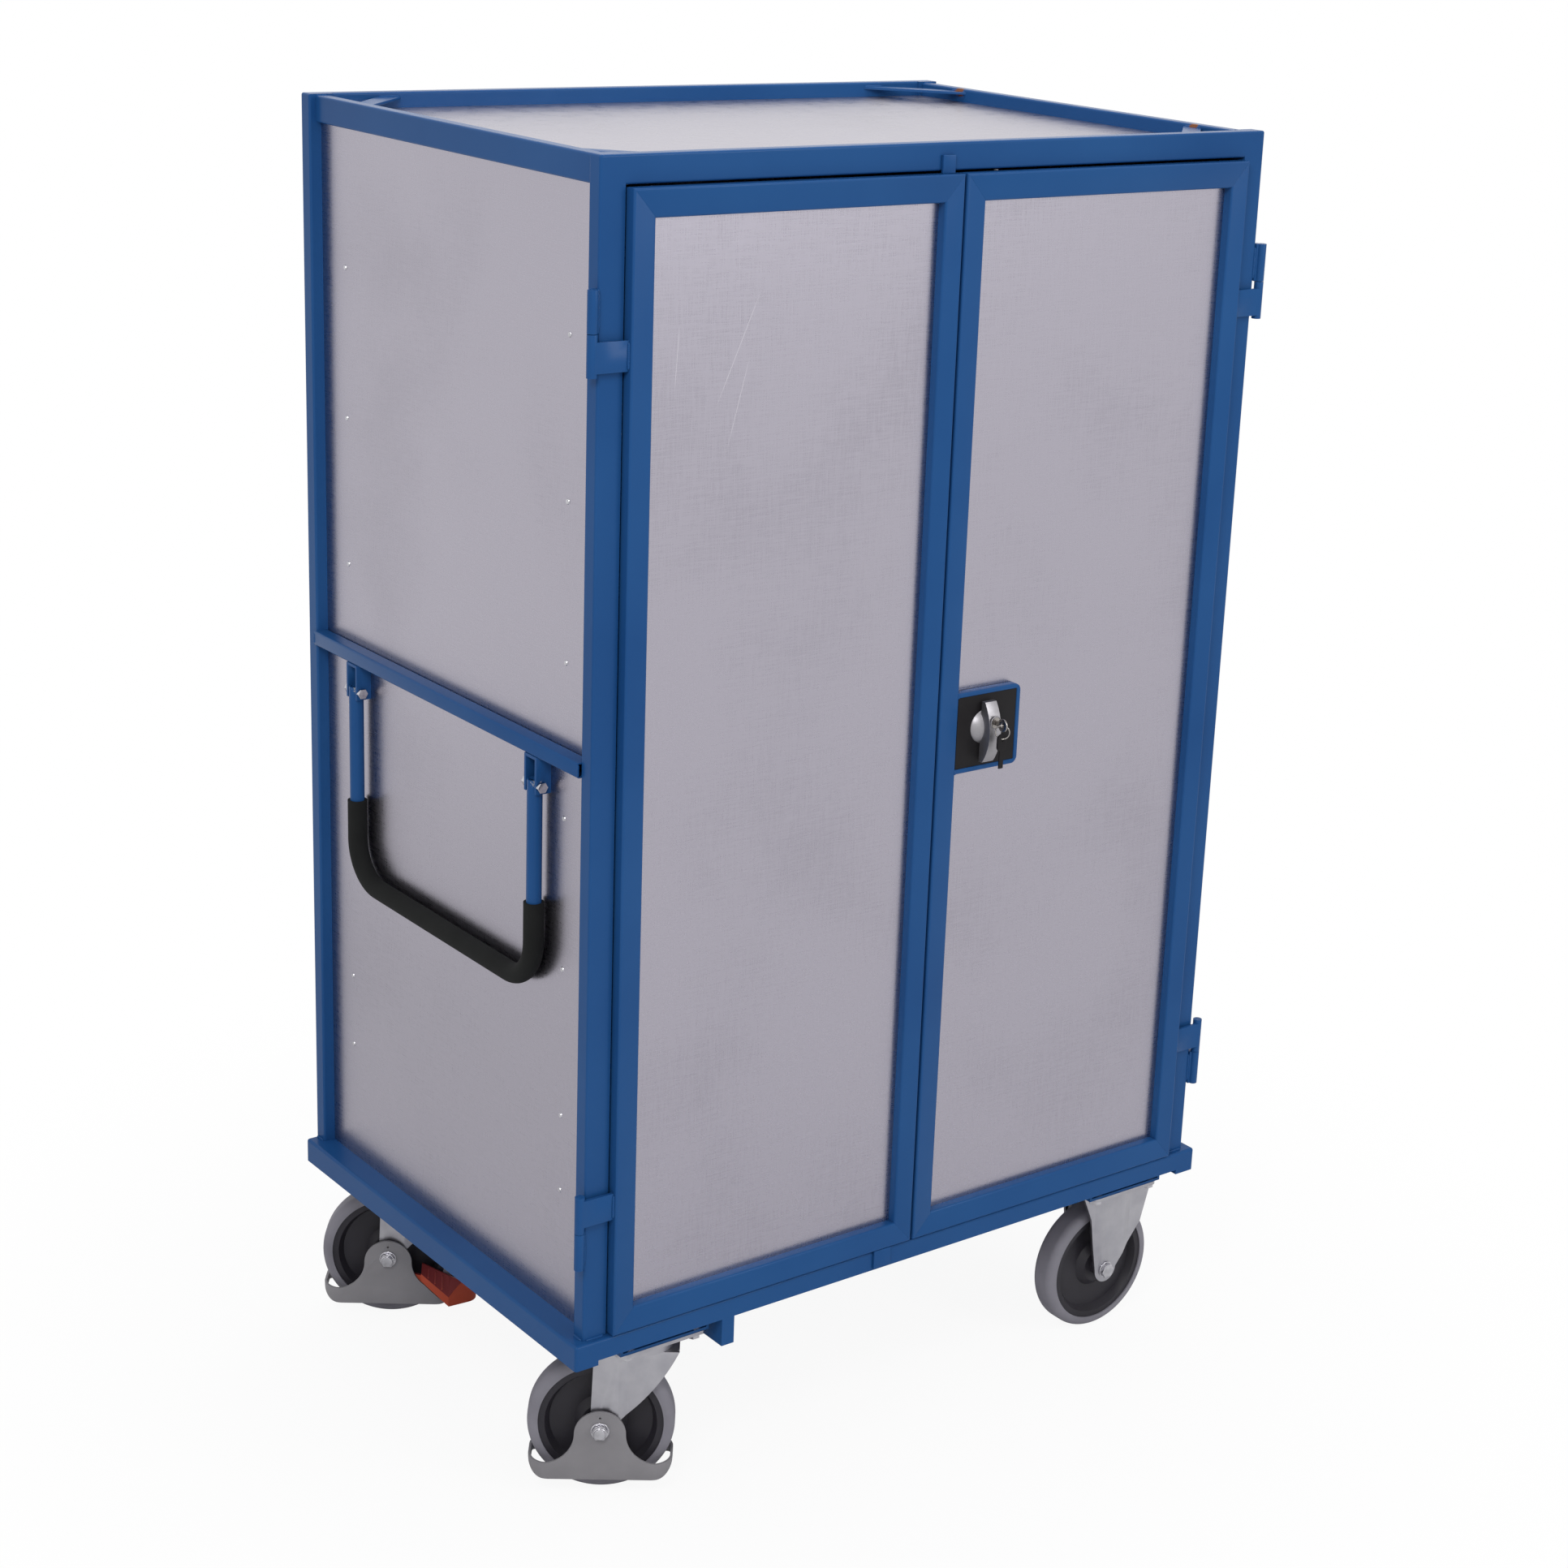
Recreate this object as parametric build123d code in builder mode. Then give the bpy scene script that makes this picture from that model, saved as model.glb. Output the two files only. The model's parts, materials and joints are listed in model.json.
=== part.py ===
"""Cabinet trolley: a welded frame with sheet walls, two hinged doors, a rod lock, a folding push handle
and four casters. Millimetres, +Z up, floor at z = 0, origin under the middle of the whole object."""
import math
import os

from build123d import *

os.makedirs("parts", exist_ok=True)

# Clearances
slide_gap = 0.3  # between pieces that move past each other
bore_gap = 0.05  # round a shaft, pin or bolt, on the radius
weld_gap = 0.02  # between tubes that are welded into one frame

# Cabinet frame
body_width = 1068.0
body_depth = 735.0
body_height = 1519.0
post_width = 35.0
post_depth = 24.0
tube_wall = 2.0
tube_round = 3.0
rim_height = 35.0
rim_depth = 20.0
side_rim_drop = 2.0
side_rim_recess = 9.0
brace_leg = 110.0
brace_width = 25.0
brace_thickness = 4.0
brace_drop = 6.0

# Sheets
sheet_thickness = 1.5
side_sheet_recess = 17.0
rear_sheet_recess = 10.0
top_sheet_drop = 21.0
floor_thickness = 3.0

# Base frame
base_side_overhang = 17.0
base_overhang = 10.0
side_rail_width = 35.0
side_rail_height = 35.0
end_rail_height = 28.0
end_rail_depth = 30.0
base_wall = 3.0
base_round = 4.0
carrier_width = 141.0
carrier_height = 18.0
carrier_wall = 4.0
carrier_inset = 7.0
stiffener_lead = 90.0
stiffener_width = 20.0
stiffener_height = 40.0

# Shelves and what carries them
rivet_inset = 87.5
rivet_lowest = 177.0
rivet_start = 283.0
rivet_pitch = 203.0
rivet_count = 6
rivet_radius = 2.0
rivet_head_radius = 3.6
rivet_head_height = 1.2
rivet_head_taper = 30.0
upright_width = 30.0
upright_depth = 12.0
upright_bottom = 60.0
upright_top = 1400.0
upright_wall = 1.5
lower_shelf = 380.0
middle_shelf = 740.0
upper_shelf = 1100.0
shelf_height = 25.0
shelf_wall = 1.5
shelf_front_room = 50.0
shelf_side_room = 2.0
shelf_back_room = 3.0
clip_height = 8.0
clip_width = 24.0
clip_reach = 30.0

# Doors
door_proud = 14.0
door_depth = 20.0
door_side_gap = 3.0
door_meeting_gap = 4.0
door_bottom_gap = 2.0
door_top_gap = 3.0
stile_width = 31.0
door_rail_height = 35.0
door_sheet_recess = 13.5
stop_top_width = 20.0
stop_top_height = 23.0
stop_top_thickness = 4.5
stop_top_inset = 12.0
stop_bottom_width = 29.0
stop_bottom_drop = 25.0
stop_bottom_thickness = 3.6
stop_bottom_inset = 37.0

# Hinges
hinge_out = 9.3
hinge_front = 2.3
hinge_length = 103.0
hinge_barrel_radius = 6.5
hinge_pin_radius = 3.5
hinge_split_gap = 0.6
hinge_upper_bottom = 1263.0
hinge_lower_bottom = 108.0
strap_thickness = 5.0
strap_height = 37.0
strap_front_offset = -6.3
strap_split_room = 9.0
leaf_depth = 10.0

# Lock
lock_bottom = 684.0
lock_height = 113.0
lock_right = 141.0
lock_strip = 6.5
lock_corner = 10.0
plate_recess = 1.0
handle_x = 80.0
handle_z = 745.0
dome_radius = 24.0
dome_height = 13.0
wing_width = 19.5
wing_up = 37.0
wing_down = 47.0
wing_height = 24.0
wing_end_height = 11.0
wing_foot = 4.0
spindle_radius = 6.0
case_width = 60.0
case_height = 110.0
case_depth = 38.0
case_wall = 2.0
cam_radius = 16.0
cam_thickness = 6.0
rod_radius = 4.0
rod_inset = 27.0
rod_cam_room = 24.0
rod_top_room = 4.0
rod_bottom_room = 5.0
guide_width = 24.0
guide_height = 20.0
guide_wall = 4.0
keeper_width = 30.0
keeper_thickness = 4.0
keeper_reach = 34.0
strike_thickness = 2.0
strike_length = 30.0
plug_up = 11.0
plug_radius = 7.5
plug_depth = 16.0
key_out = 23.0
key_bow_radius = 9.0
key_thickness = 2.5
key_neck = 7.0
ring_radius = 9.5
ring_wire = 0.9
ring_turn = 45.0
key_hole_radius = 2.9
spare_bow_width = 16.0
spare_bow_height = 24.0
spare_bow_above = 7.0
spare_thickness = 3.0
spare_hole_radius = 3.2
spare_blade_width = 7.0
spare_blade_length = 24.0
spare_blade_thickness = 2.0

# Push handle
handle_rail_bottom = 763.5
handle_rail_height = 20.0
handle_rail_depth = 22.0
arm_spread = 468.0
arm_radius = 10.0
arm_wall = 2.0
arm_end = 7.0
pivot_z = 724.0
pivot_out = 15.0
handle_drop = 273.0
handle_bend = 60.0
grip_radius = 13.5
grip_start = 566.0
lug_inner = 21.0
lug_plate = 4.0
lug_depth = 22.0
lug_bottom = 714.0
bolt_radius = 4.0
bolt_head_across = 13.0
bolt_head_height = 5.5
nut_height = 6.5
bolt_stub = 3.0

# Casters: plates, wheels and axles
caster_height = 237.0
swivel_inset = 134.0
fixed_inset = 102.0
fixed_lead = 13.0
caster_front_inset = 61.5
caster_rear_inset = 88.5
plate_length = 140.0
fixed_plate_length = 126.0
plate_width = 110.0
plate_thickness = 5.0
plate_round = 10.0
plate_bolt_length = 105.0
plate_bolt_width = 86.0
plate_bolt_radius = 5.0
plate_hole_radius = 5.5
plate_bolt_head = 17.0
plate_bolt_head_height = 6.4
plate_nut_height = 8.0
wheel_radius = 100.0
wheel_width = 40.0
tyre_thickness = 15.0
tyre_crown = 11.0
rim_width = 36.0
rim_ring = 9.0
dish_slope = 6.0
web_width = 14.0
hub_ring_radius = 36.0
hub_radius = 26.0
hub_boss_width = 34.0
hub_bush_radius = 15.0
hub_room = 0.5
axle_radius = 7.5
axle_head_across = 20.0
axle_head_height = 7.0
axle_stub = 3.0

# Casters: forks
fork_plate = 4.0
fork_inner = 31.0
fork_step = 3.0
fork_panel = 24.5
fork_slope = 11.0
fork_panel_shift = 9.0
fork_back_reach = 49.0
fork_front_reach = 86.0
fork_eye_radius = 20.0
fork_heel = 33.0
fork_heel_up = 90.0
fork_knee = 68.0
fork_knee_up = 62.0
swivel_trail = 53.0
swivel_rest_angle = 144.5
race_radius = 44.0
crown_thickness = 5.0
crown_drop = 21.0
crown_front = 51.0
crown_back = 63.0
crown_round = 10.0
swivel_eye_radius = 14.0
swivel_fold_ahead = 24.0
swivel_shoulder_ahead = 33.0
swivel_shoulder_up = 19.0
swivel_bulge = 6.5
kingpin_radius = 8.0
kingpin_nut_radius = 13.0
kingpin_nut_height = 8.0

# Casters: wheel guards and brake pedal, with "ahead" counted from the axle towards the kingpin
guard_half_length = 98.0
guard_half_width = 41.0
guard_wall = 3.5
guard_corner = 30.0
guard_bottom = 25.5
guard_bottom_round = 22.0
guard_hump_radius = 35.0
guard_hump_drop = 6.0
guard_sweep_radius = 45.0
guard_boss_radius = 26.0
guard_pinhole_radius = 1.5
guard_pinhole_up = 19.0
guard_cut_ahead = 46.9
guard_cut_up = 64.2
guard_cut_slope = 45.35
pedal_pivot_ahead = 34.0
pedal_pivot_z = 66.0
pedal_pin_radius = 4.0
pedal_ear_radius = 9.0
pedal_ear_thickness = 4.5
pedal_start_ahead = 49.0
pedal_start_low = 63.5
pedal_start_high = 76.0
pedal_knee_ahead = 90.0
pedal_knee_low = 22.0
pedal_knee_high = 37.5
pedal_tip_ahead = 127.0
pedal_tip_low = 18.0
pedal_tip_high = 28.0
pedal_tip_radius = 24.0
pedal_start_crown = 10.0
pedal_knee_crown = 28.0
pedal_tip_crown = 20.0
pedal_crown_run = 15.0
pedal_wheel_room = 6.0
pedal_side_room = 3.0

# Places worked out from the sizes above
base_top = caster_height + carrier_height + end_rail_height
top_z = base_top + body_height
key_reach = door_proud - plate_recess + wing_height + key_out
trail_heading = math.radians(swivel_rest_angle)
guard_turn = (abs(math.sin(trail_heading)), abs(math.cos(trail_heading)))
guard_reach = (
    guard_corner
    + (guard_half_length - guard_corner) * guard_turn[0]
    + (guard_half_width - guard_corner) * guard_turn[1]
)
rear_reach = swivel_trail * math.sin(trail_heading) + guard_reach - caster_rear_inset
front_y = (key_reach - rear_reach) / 2 - body_depth / 2
back_y = front_y + body_depth
centre_y = (front_y + back_y) / 2
base_front_y = front_y - base_overhang
half_width = body_width / 2
post_inner_x = half_width - post_width
sheet_x = half_width - side_sheet_recess
sheet_inner_x = sheet_x - sheet_thickness
base_width = body_width + 2 * base_side_overhang
base_inner_x = base_width / 2 - side_rail_width
rim_bottom = top_z - rim_height
rivet_column = body_depth / 2 - rivet_inset
shelf_levels = (lower_shelf, middle_shelf, upper_shelf)
swivel_x = swivel_inset - half_width
stiffener_x = swivel_x + stiffener_lead
fixed_x = half_width - fixed_inset
fixed_carrier_x = fixed_x - fixed_lead / 4
caster_y = {"front": front_y + caster_front_inset, "rear": back_y - caster_rear_inset}
caster_spots = [(x, y) for x in (swivel_x, fixed_x) for y in caster_y.values()]


def block(x_range, y_range, z_range, mode=Mode.ADD):
    """A plain block between two corners, for the part that is open."""
    size = [high - low for low, high in (x_range, y_range, z_range)]
    middle = [(high + low) / 2 for low, high in (x_range, y_range, z_range)]
    with Locations(tuple(middle)):
        Box(*size, mode=mode)


def write_node(piece, name):
    """Label a finished piece and write it as one node."""
    piece.label = name
    export_step(piece, f"parts/{name}.step")


# Base side rails: channels that run front to back, open underneath
with BuildPart() as base_side_rails:
    for side in (-1, 1):
        outer = side * base_width / 2
        inner = side * base_inner_x
        across = (min(outer, inner), max(outer, inner))
        block(across, (base_front_y, back_y), (base_top - side_rail_height, base_top))
    top_edges = base_side_rails.edges().group_by(Axis.Z)[-1]
    long_edges = top_edges.filter_by(Axis.Y) + base_side_rails.edges().filter_by(Axis.Z)
    outer_edges = [edge for edge in long_edges if abs(edge.center().X) > base_inner_x + base_round]
    fillet(outer_edges + list(top_edges.filter_by(Axis.X)), base_round)
    for side in (-1, 1):
        middle = side * (base_width / 2 - side_rail_width / 2)
        half = side_rail_width / 2 - base_wall
        block(
            (middle - half, middle + half),
            (base_front_y + base_wall, back_y - base_wall),
            (base_top - side_rail_height, base_top - base_wall),
            mode=Mode.SUBTRACT,
        )
write_node(base_side_rails.part, "base_side_rails")

# Base end rails: channels between the side rails, at the front and at the back
with BuildPart() as base_end_rails:
    for low_y in (base_front_y, back_y - end_rail_depth):
        block(
            (-base_inner_x, base_inner_x),
            (low_y, low_y + end_rail_depth),
            (base_top - end_rail_height, base_top),
        )
    outer_edges = base_end_rails.edges().filter_by(Axis.X).group_by(Axis.Z)[-1].sort_by(Axis.Y)
    fillet((outer_edges[0], outer_edges[-1]), base_round)
    for low_y in (base_front_y, back_y - end_rail_depth):
        block(
            (-base_inner_x + base_wall, base_inner_x - base_wall),
            (low_y + base_wall, low_y + end_rail_depth - base_wall),
            (base_top - end_rail_height, base_top - base_wall),
            mode=Mode.SUBTRACT,
        )
write_node(base_end_rails.part, "base_end_rails")

# Base crossmembers: a tube under the frame and the two channels that carry the casters
member_top = base_top - end_rail_height
with BuildPart() as base_crossmembers:
    block(
        (stiffener_x - stiffener_width / 2, stiffener_x + stiffener_width / 2),
        (base_front_y, back_y),
        (member_top - stiffener_height, member_top),
    )
    block(
        (stiffener_x - stiffener_width / 2 + tube_wall, stiffener_x + stiffener_width / 2 - tube_wall),
        (base_front_y + tube_wall, back_y),
        (member_top - stiffener_height + tube_wall, member_top - tube_wall),
        mode=Mode.SUBTRACT,
    )
    for middle in (swivel_x, fixed_carrier_x):
        half = carrier_width / 2
        along = (front_y + carrier_inset, back_y - carrier_inset)
        block((middle - half, middle + half), along, (member_top - carrier_height, member_top))
        block(
            (middle - half + carrier_wall, middle + half - carrier_wall),
            along,
            (member_top - carrier_height + carrier_wall, member_top),
            mode=Mode.SUBTRACT,
        )
    with BuildSketch(Plane.XY.offset(caster_height)):
        with Locations(*caster_spots):
            with GridLocations(plate_bolt_length, plate_bolt_width, 2, 2):
                Circle(plate_hole_radius)
    extrude(amount=carrier_wall, mode=Mode.SUBTRACT)
write_node(base_crossmembers.part, "base_crossmembers")

# Corner posts: tubes closed at the top, rounded outside and along the top like the rails between them
with BuildPart() as corner_posts:
    with BuildSketch(Plane.XY.offset(base_top)):
        with Locations((0, centre_y)):
            with GridLocations(body_width - post_width, body_depth - post_depth, 2, 2):
                Rectangle(post_width, post_depth)
    extrude(amount=body_height)
    top_edges = corner_posts.edges().group_by(Axis.Z)[-1]
    front_and_back = top_edges.filter_by(Axis.X).group_by(Axis.Y)
    side_edges = top_edges.filter_by(Axis.Y).group_by(Axis.X)
    upright_edges = corner_posts.edges().filter_by(Axis.Z).group_by(Axis.X)
    outer_edges = [groups[end] for groups in (front_and_back, side_edges, upright_edges) for end in (0, -1)]
    fillet([edge for group in outer_edges for edge in group], tube_round)
    with BuildSketch(Plane.XY.offset(base_top)):
        with Locations((0, centre_y)):
            with GridLocations(body_width - post_width, body_depth - post_depth, 2, 2):
                Rectangle(post_width - 2 * tube_wall, post_depth - 2 * tube_wall)
    extrude(amount=body_height - tube_wall, mode=Mode.SUBTRACT)
write_node(corner_posts.part, "corner_posts")

# Top rails: front and rear tubes between the posts, side tubes set back and a little lower
side_rim_z = top_z - side_rim_drop - rim_height / 2
side_rim_spread = body_width - 2 * side_rim_recess - rim_depth
with BuildPart() as top_rails:
    with BuildSketch(Plane.YZ):
        with Locations((centre_y, top_z - rim_height / 2)):
            with GridLocations(body_depth - rim_depth, 0, 2, 1):
                RectangleRounded(rim_depth, rim_height, tube_round)
                Rectangle(rim_depth - 2 * tube_wall, rim_height - 2 * tube_wall, mode=Mode.SUBTRACT)
    extrude(amount=post_inner_x, both=True)
    with BuildSketch(Plane.XZ.offset(-centre_y)):
        with Locations((0, side_rim_z)):
            with GridLocations(side_rim_spread, 0, 2, 1):
                RectangleRounded(rim_depth, rim_height, tube_round)
                Rectangle(rim_depth - 2 * tube_wall, rim_height - 2 * tube_wall, mode=Mode.SUBTRACT)
    extrude(amount=body_depth / 2 - post_depth, both=True)
write_node(top_rails.part, "top_rails")

# Corner braces: flat bars across the four corners of the rim
rim_inner_x = half_width - side_rim_recess - rim_depth
rim_inner_y = body_depth / 2 - rim_depth
brace_cut = brace_width * math.sqrt(2)
with BuildPart() as corner_braces:
    for side_x in (-1, 1):
        for side_y in (-1, 1):
            with BuildSketch(Plane.XY.offset(top_z - brace_drop - brace_thickness)):
                with BuildLine():
                    corner = (side_x * rim_inner_x, centre_y + side_y * rim_inner_y)
                    legs = (brace_leg, brace_leg - brace_cut)
                    along_x = [(corner[0] - side_x * leg, corner[1]) for leg in legs]
                    along_y = [(corner[0], corner[1] - side_y * leg) for leg in legs]
                    Polyline(along_x[0], along_y[0], along_y[1], along_x[1], close=True)
                make_face()
            extrude(amount=brace_thickness)
write_node(corner_braces.part, "corner_braces")

# Side sheets, with a hole for each shelf rivet
rivet_levels = [base_top + rivet_lowest]
rivet_levels += [base_top + rivet_start + step * rivet_pitch for step in range(rivet_count)]
rivet_points = [(centre_y + side * rivet_column, z) for side in (-1, 1) for z in rivet_levels]
sheet_reach_y = (front_y + post_depth, back_y - post_depth)
for side, side_name in ((-1, "left"), (1, "right")):
    with BuildPart() as side_sheet:
        across = sorted((side * sheet_x, side * sheet_inner_x))
        block(across, sheet_reach_y, (base_top, top_z - side_rim_drop - rim_height))
        with BuildSketch(Plane.YZ.offset(side * sheet_x)):
            with Locations(*rivet_points):
                Circle(rivet_radius + bore_gap)
        extrude(amount=-side * sheet_thickness, mode=Mode.SUBTRACT)
    write_node(side_sheet.part, f"side_sheet_{side_name}")

# Rear sheet, between the rear posts
rear_sheet_y = back_y - rear_sheet_recess
with BuildPart() as rear_sheet:
    block(
        (-post_inner_x, post_inner_x),
        (rear_sheet_y - sheet_thickness, rear_sheet_y),
        (base_top, rim_bottom),
    )
write_node(rear_sheet.part, "rear_sheet")

# Top sheet, inside the rim and cut out round the posts
with BuildPart() as top_sheet:
    block(
        (-rim_inner_x, rim_inner_x),
        (centre_y - rim_inner_y, centre_y + rim_inner_y),
        (top_z - top_sheet_drop - sheet_thickness, top_z - top_sheet_drop),
    )
    with BuildSketch(Plane.XY.offset(top_z - top_sheet_drop)):
        with Locations((0, centre_y)):
            with GridLocations(body_width - post_width, body_depth - post_depth, 2, 2):
                Rectangle(post_width, post_depth)
    extrude(amount=-sheet_thickness, mode=Mode.SUBTRACT)
write_node(top_sheet.part, "top_sheet")

# Floor sheet, level with the top of the base, with a hole for the lower lock rod
rod_y = front_y + rod_inset
floor_front_y = base_front_y + end_rail_depth
with BuildPart() as floor_sheet:
    block(
        (-base_inner_x, base_inner_x),
        (floor_front_y, back_y - end_rail_depth),
        (base_top - floor_thickness, base_top),
    )
    with BuildSketch(Plane.XY.offset(base_top)):
        with Locations((handle_x, rod_y)):
            Circle(rod_radius + slide_gap)
    extrude(amount=-floor_thickness, mode=Mode.SUBTRACT)
write_node(floor_sheet.part, "floor_sheet")

# Shelf uprights with their clips: channels riveted to the side sheets
web_x = sheet_inner_x - upright_wall
with BuildPart() as shelf_uprights:
    for side in (-1, 1):
        with BuildSketch(Plane.XY.offset(base_top + upright_bottom)):
            for column in (-rivet_column, rivet_column):
                with Locations((side * (sheet_inner_x - upright_depth / 2), centre_y + column)):
                    Rectangle(upright_depth, upright_width)
                with Locations((side * (web_x - upright_depth / 2), centre_y + column)):
                    Rectangle(upright_depth, upright_width - 2 * upright_wall, mode=Mode.SUBTRACT)
        extrude(amount=upright_top - upright_bottom)
        with BuildSketch(Plane.YZ.offset(side * sheet_inner_x)):
            with Locations(*rivet_points):
                Circle(rivet_radius + bore_gap)
        extrude(amount=-side * upright_wall, mode=Mode.SUBTRACT)
write_node(shelf_uprights.part, "shelf_uprights")

# Shelf clips: hooked into the uprights, under each shelf
with BuildPart() as shelf_clips:
    for level in shelf_levels:
        for side in (-1, 1):
            for column in (-rivet_column, rivet_column):
                across = sorted((side * web_x, side * (web_x - clip_reach)))
                middle = centre_y + column
                under = base_top + level
                block(
                    across,
                    (middle - clip_width / 2, middle + clip_width / 2),
                    (under - clip_height, under),
                )
write_node(shelf_clips.part, "shelf_clips")

# Shelves: sheet trays with their edges folded down
shelf_half = post_inner_x - shelf_side_room
shelf_y = (front_y + shelf_front_room, rear_sheet_y - sheet_thickness - shelf_back_room)
with BuildPart() as shelves:
    for level in shelf_levels:
        low_z = base_top + level
        block((-shelf_half, shelf_half), shelf_y, (low_z, low_z + shelf_height))
        block(
            (-shelf_half + shelf_wall, shelf_half - shelf_wall),
            (shelf_y[0] + shelf_wall, shelf_y[1] - shelf_wall),
            (low_z, low_z + shelf_height - shelf_wall),
            mode=Mode.SUBTRACT,
        )
write_node(shelves.part, "shelves")

# Shelf rivets: heads on the sheets' outer faces, shanks through sheet and upright
with BuildPart() as shelf_rivets:
    for side in (-1, 1):
        with BuildSketch(Plane.YZ.offset(side * sheet_x)):
            with Locations(*rivet_points):
                Circle(rivet_head_radius)
        extrude(amount=side * rivet_head_height, taper=rivet_head_taper)
        with BuildSketch(Plane.YZ.offset(side * sheet_x)):
            with Locations(*rivet_points):
                Circle(rivet_radius)
        extrude(amount=-side * (sheet_thickness + upright_wall))
write_node(shelf_rivets.part, "shelf_rivets")

# Places of the doors, their hinges and the lock
door_front_y = front_y - door_proud
door_back_y = door_front_y + door_depth
door_outer_x = post_inner_x - door_side_gap
door_inner_x = door_meeting_gap / 2
door_low_z = base_top + door_bottom_gap
door_high_z = rim_bottom - door_top_gap
door_sheet_y = door_front_y + door_sheet_recess
opening_low_z = door_low_z + door_rail_height
opening_high_z = door_high_z - door_rail_height
opening_x = (door_inner_x + stile_width, door_outer_x - stile_width)
hinge_x = half_width + hinge_out
hinge_y = front_y - hinge_front
hinge_bottoms = (base_top + hinge_upper_bottom, base_top + hinge_lower_bottom)
half_hinge = (hinge_length - hinge_split_gap) / 2
spindle_z = base_top + handle_z
plate_front_y = door_front_y + plate_recess


def mirrored(x_range, side):
    """An x range of the right door, turned round for the left one."""
    return sorted((side * x_range[0], side * x_range[1]))


def cylinder_z(x, y, z_range, radius, mode=Mode.ADD):
    """An upright cylinder, for the part that is open."""
    with Locations((x, y, (z_range[0] + z_range[1]) / 2)):
        Cylinder(radius, z_range[1] - z_range[0], mode=mode)


def mitred_tube(outer_edge, inner_edge, axis):
    """A tube of a door frame between its outer and its inner edge, hollow and open at the mitred ends."""
    corners = [*outer_edge, *reversed(inner_edge)]
    long_way = 1 if axis == Axis.Z else 0
    cavity = []
    for i in (0, 1):
        low = min(corner[i] for corner in corners)
        high = max(corner[i] for corner in corners)
        cavity.append((low, high) if i == long_way else (low + tube_wall, high - tube_wall))
    with BuildPart() as tube:
        with BuildSketch(Plane.XZ.offset(-door_front_y)):
            with BuildLine():
                Polyline(*corners, close=True)
            make_face()
        extrude(amount=-door_depth)
        fillet(tube.edges().filter_by(axis), tube_round)
        block(
            cavity[0], (door_front_y + tube_wall, door_back_y - tube_wall), cavity[1], mode=Mode.SUBTRACT
        )
    return tube.part


def door_frame(side):
    """Two stiles and two rails, mitred at the corners and flush in front."""
    with BuildPart() as frame:
        for outer, inner in zip((door_inner_x, door_outer_x), opening_x):
            add(
                mitred_tube(
                    ((side * outer, door_low_z), (side * outer, door_high_z)),
                    ((side * inner, opening_low_z), (side * inner, opening_high_z)),
                    Axis.Z,
                )
            )
        outer_x = (door_inner_x + weld_gap, door_outer_x - weld_gap)
        inner_x = (opening_x[0] + weld_gap, opening_x[1] - weld_gap)
        for outer, inner in ((door_low_z, opening_low_z), (door_high_z, opening_high_z)):
            add(
                mitred_tube(
                    [(side * x, outer) for x in outer_x],
                    [(side * x, inner) for x in inner_x],
                    Axis.X,
                )
            )
    return frame.part


def door_sheet(side):
    """The sheet that fills the frame, set back from its front."""
    with BuildPart() as sheet:
        block(
            mirrored(opening_x, side),
            (door_sheet_y, door_sheet_y + sheet_thickness),
            (opening_low_z, opening_high_z),
        )
        if side > 0:
            with BuildSketch(Plane.XZ.offset(-door_sheet_y)):
                with Locations((handle_x, spindle_z)):
                    Circle(spindle_radius + slide_gap)
            extrude(amount=-sheet_thickness, mode=Mode.SUBTRACT)
    return sheet.part


def hinge_half(x, z_range):
    """A hinge barrel with its bore, upright on the hinge axis."""
    with BuildPart() as half:
        cylinder_z(x, hinge_y, z_range, hinge_barrel_radius)
        cylinder_z(x, hinge_y, z_range, hinge_pin_radius + bore_gap, mode=Mode.SUBTRACT)
    return half.part


def door_hinges(side):
    """The two door halves: barrels with straps that reach the door's edge."""
    upper, lower = hinge_bottoms
    ranges = ((upper, upper + half_hinge), (lower + hinge_length - half_hinge, lower + hinge_length))
    strap_y = (hinge_y + strap_front_offset, hinge_y + strap_front_offset + strap_thickness)
    strap_bottoms = (ranges[0][1] - strap_split_room - strap_height, ranges[1][0] + strap_split_room)
    with BuildPart() as halves:
        for z_range, strap_low in zip(ranges, strap_bottoms):
            block(mirrored((door_outer_x, hinge_x), side), strap_y, (strap_low, strap_low + strap_height))
            cylinder_z(side * hinge_x, hinge_y, z_range, hinge_pin_radius + bore_gap, mode=Mode.SUBTRACT)
            add(hinge_half(side * hinge_x, z_range))
    return halves.part


# Doors: frame, sheet and hinge halves, the left one a mirror of the right one
for side, side_name in ((-1, "left"), (1, "right")):
    write_node(door_frame(side), f"door_{side_name}_frame")
    write_node(door_sheet(side), f"door_{side_name}_sheet")
    write_node(door_hinges(side), f"door_{side_name}_hinges")

# Stop tabs of the left door: one stands on its top edge, one hangs in front of the base
with BuildPart() as stop_tabs:
    top_tab_back = front_y - slide_gap
    block(
        (-stop_top_inset - stop_top_width, -stop_top_inset),
        (top_tab_back - stop_top_thickness, top_tab_back),
        (door_high_z, door_high_z + stop_top_height),
    )
    block(
        (-stop_bottom_inset - stop_bottom_width, -stop_bottom_inset),
        (base_front_y - slide_gap - stop_bottom_thickness, base_front_y - slide_gap),
        (base_top - stop_bottom_drop, door_low_z),
    )
write_node(stop_tabs.part, "door_left_stop_tabs")

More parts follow.
